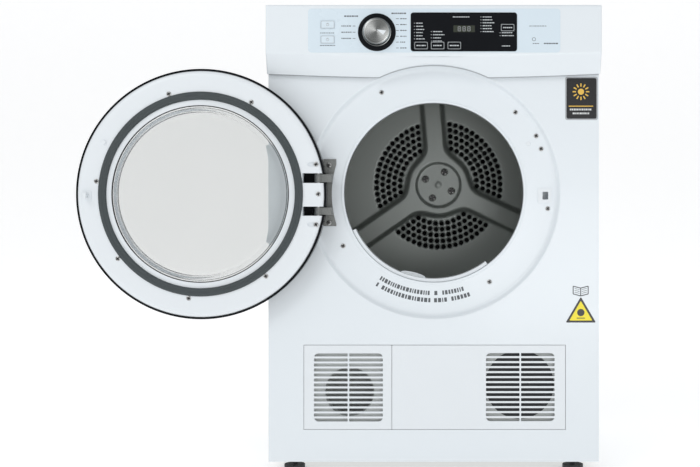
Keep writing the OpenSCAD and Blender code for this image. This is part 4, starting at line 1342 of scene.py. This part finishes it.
def build_labels():
    """Generic labels: a dark badge, an open-book mark, a triangle sign and two arcs of dashes."""
    y = FRONT_Y
    rim = rectangle_points((236.5 * MM, 295.5 * MM), (637 * MM, 715 * MM), 4 * MM)
    print_marks("badge_rim", [rim], y, "soft")
    plate = rectangle_points((239 * MM, 293 * MM), (639.5 * MM, 712.5 * MM), 3 * MM)
    print_marks("badge_plate", [plate], y - INK_LAYER, "black")
    amber = [bar(265, 662, 44, 1.6)]
    amber += [stroke(around(265, 688, 9, a), around(265, 688, 15, a), 2.2)
              for a in np.radians(30 * np.arange(12))]
    amber.append(circle_points((265 * MM, 688 * MM), 5.5 * MM, 32))
    print_marks("badge_mark", amber, y - 2 * INK_LAYER, "amber")
    lines = dashes(245, 656, 40, 71, 3.2) + dashes(250, 649, 30, 72, 3.0)
    print_marks("badge_lines", lines, y - 2 * INK_LAYER, "paper")
    edges = [((251, 338), (264.5, 334.5)), ((264.5, 334.5), (278, 338)), ((251, 324), (264.5, 320.5)),
             ((264.5, 320.5), (278, 324)), ((251, 338), (251, 324)), ((278, 338), (278, 324)),
             ((264.5, 334.5), (264.5, 320.5))]
    for row in range(3):
        z = 334 - 3.4 * row
        edges += [((253.5, z), (262.5, z - 2.2)), ((266.5, z - 2.2), (275.5, z))]
    strokes = [stroke(a, b, 1.7 if i < 7 else 0.8) for i, (a, b) in enumerate(edges)]
    print_marks("booklet_mark", strokes, y, "grey")
    corners = np.array([(237.5, 272.5), (292.0, 272.5), (264.75, 319.0)])
    print_marks("sign_border", [soft_triangle(corners, 3.0)], y, "black")
    inner = corners.mean(axis=0) + (corners - corners.mean(axis=0)) * 0.76
    print_marks("sign_field", [soft_triangle(inner, 2.0)], y - INK_LAYER, "yellow")
    dot = circle_points((264.75 * MM, 290.5 * MM), 6.6 * MM, 40)
    print_marks("sign_dot", [dot, bar(264.75, 280.5, 15, 1.5)], y - 2 * INK_LAYER, "black")
    arcs = []
    chance = np.random.default_rng(8)
    for radius in (181.5, 194.5):
        angle = -122.0
        while angle < -71:
            wide = float(chance.uniform(1.1, 2.3))
            if chance.uniform() > 0.13:
                arcs.append(arc_dash(radius, angle, angle + wide - 0.55, 7.6))
            angle += wide
    print_marks("reminder_arcs", arcs, RECESS_Y, "grey")


def soft_triangle(corners, radius):
    """Triangle in mm with rounded corners."""
    loop = np.vstack([corners, corners[:1]])
    start = (loop[0] + loop[1]) / 2
    path = np.vstack([start, loop[1:3], loop[:1], start])
    return rounded_profile(path, [0, radius, radius, radius, 0], 5)[:-1] * MM


def arc_dash(radius, first, last, height):
    """Dash that follows a circle round the port, between two angles in degrees, in mm."""
    a = np.radians(np.linspace(first, last, 3))
    inner = np.stack([np.cos(a), np.sin(a)], -1) * (radius - height / 2)
    outer = np.stack([np.cos(a[::-1]), np.sin(a[::-1])], -1) * (radius + height / 2)
    return np.vstack([inner, outer]) * MM + np.array(PORT_MID)


build_labels()


# ---- studio

def add_area(name, place, aim, size, power):
    """Rectangular lamp of white light that faces its aim."""
    data = bpy.data.lights.new(name, "AREA")
    data.shape = "RECTANGLE"
    data.size, data.size_y = size
    data.energy = power
    lamp = bpy.data.objects.new(name, data)
    lamp.location = place
    lamp.rotation_euler = (Vector(aim) - Vector(place)).to_track_quat("-Z", "Y").to_euler()
    bpy.context.scene.collection.objects.link(lamp)


def add_stage():
    """Pale floor that sweeps up into a backdrop far behind: a quarter turn between floor and wall."""
    material, tree, shader = new_material("studio_floor", Emission_Color=(1, 1, 1, 1), Emission_Strength=0.36)
    look = place_group(tree, SURFACE, Colour=colour4(0.86, 0.86, 0.86), Worn_Colour=colour4(0.84, 0.84, 0.84),
                       Cloud_Scale=1.2, Cloud_Amount=0.3, Grain_Scale=200.0, Roughness=0.8)
    link(tree, look.outputs["Colour"], shader.inputs["Base Color"])
    bend = 2.5
    turn = np.linspace(0, np.pi / 2, 24)
    y = np.concatenate([[-12, 0, 4], 4 + bend * np.sin(turn[1:]), [4 + bend]])
    z = np.concatenate([[0, 0, 0], bend * (1 - np.cos(turn[1:])), [9]])
    x = np.array([-14.0, 14.0])
    verts = np.stack([x + 0 * y[:, None], y[:, None] + 0 * x, z[:, None] + 0 * x], -1).reshape(-1, 3)
    mesh = raw_mesh("studio_floor", verts, grid_faces(len(y), 2, False)[:, ::-1])
    mesh.shade_smooth()
    mesh.materials.append(material)
    floor = bpy.data.objects.new("studio_floor", mesh)
    bpy.context.scene.collection.objects.link(floor)


def add_studio():
    """Even white surroundings, one large soft key from the upper left and weak fills in front."""
    add_stage()
    world = bpy.data.worlds.new("studio")
    bpy.context.scene.world = world
    world.use_nodes = True
    sky = world.node_tree.nodes["Background"]
    sky.inputs["Color"].default_value = (0.97, 0.985, 1.0, 1)
    sky.inputs["Strength"].default_value = 0.62
    add_area("key", (-1.5, -2.6, 2.3), (0, 0, 0.45), (1.3, 1.3), 18.5)
    add_area("fill", (2.4, -2.6, 1.2), (0, 0, 0.4), (2.2, 2.2), 4.0)
    add_area("front", (0.55, -3.2, 0.22), (0, 0, 0.5), (0.8, 0.6), 5.5)
    bpy.context.scene.view_settings.view_transform = "Standard"


add_studio()
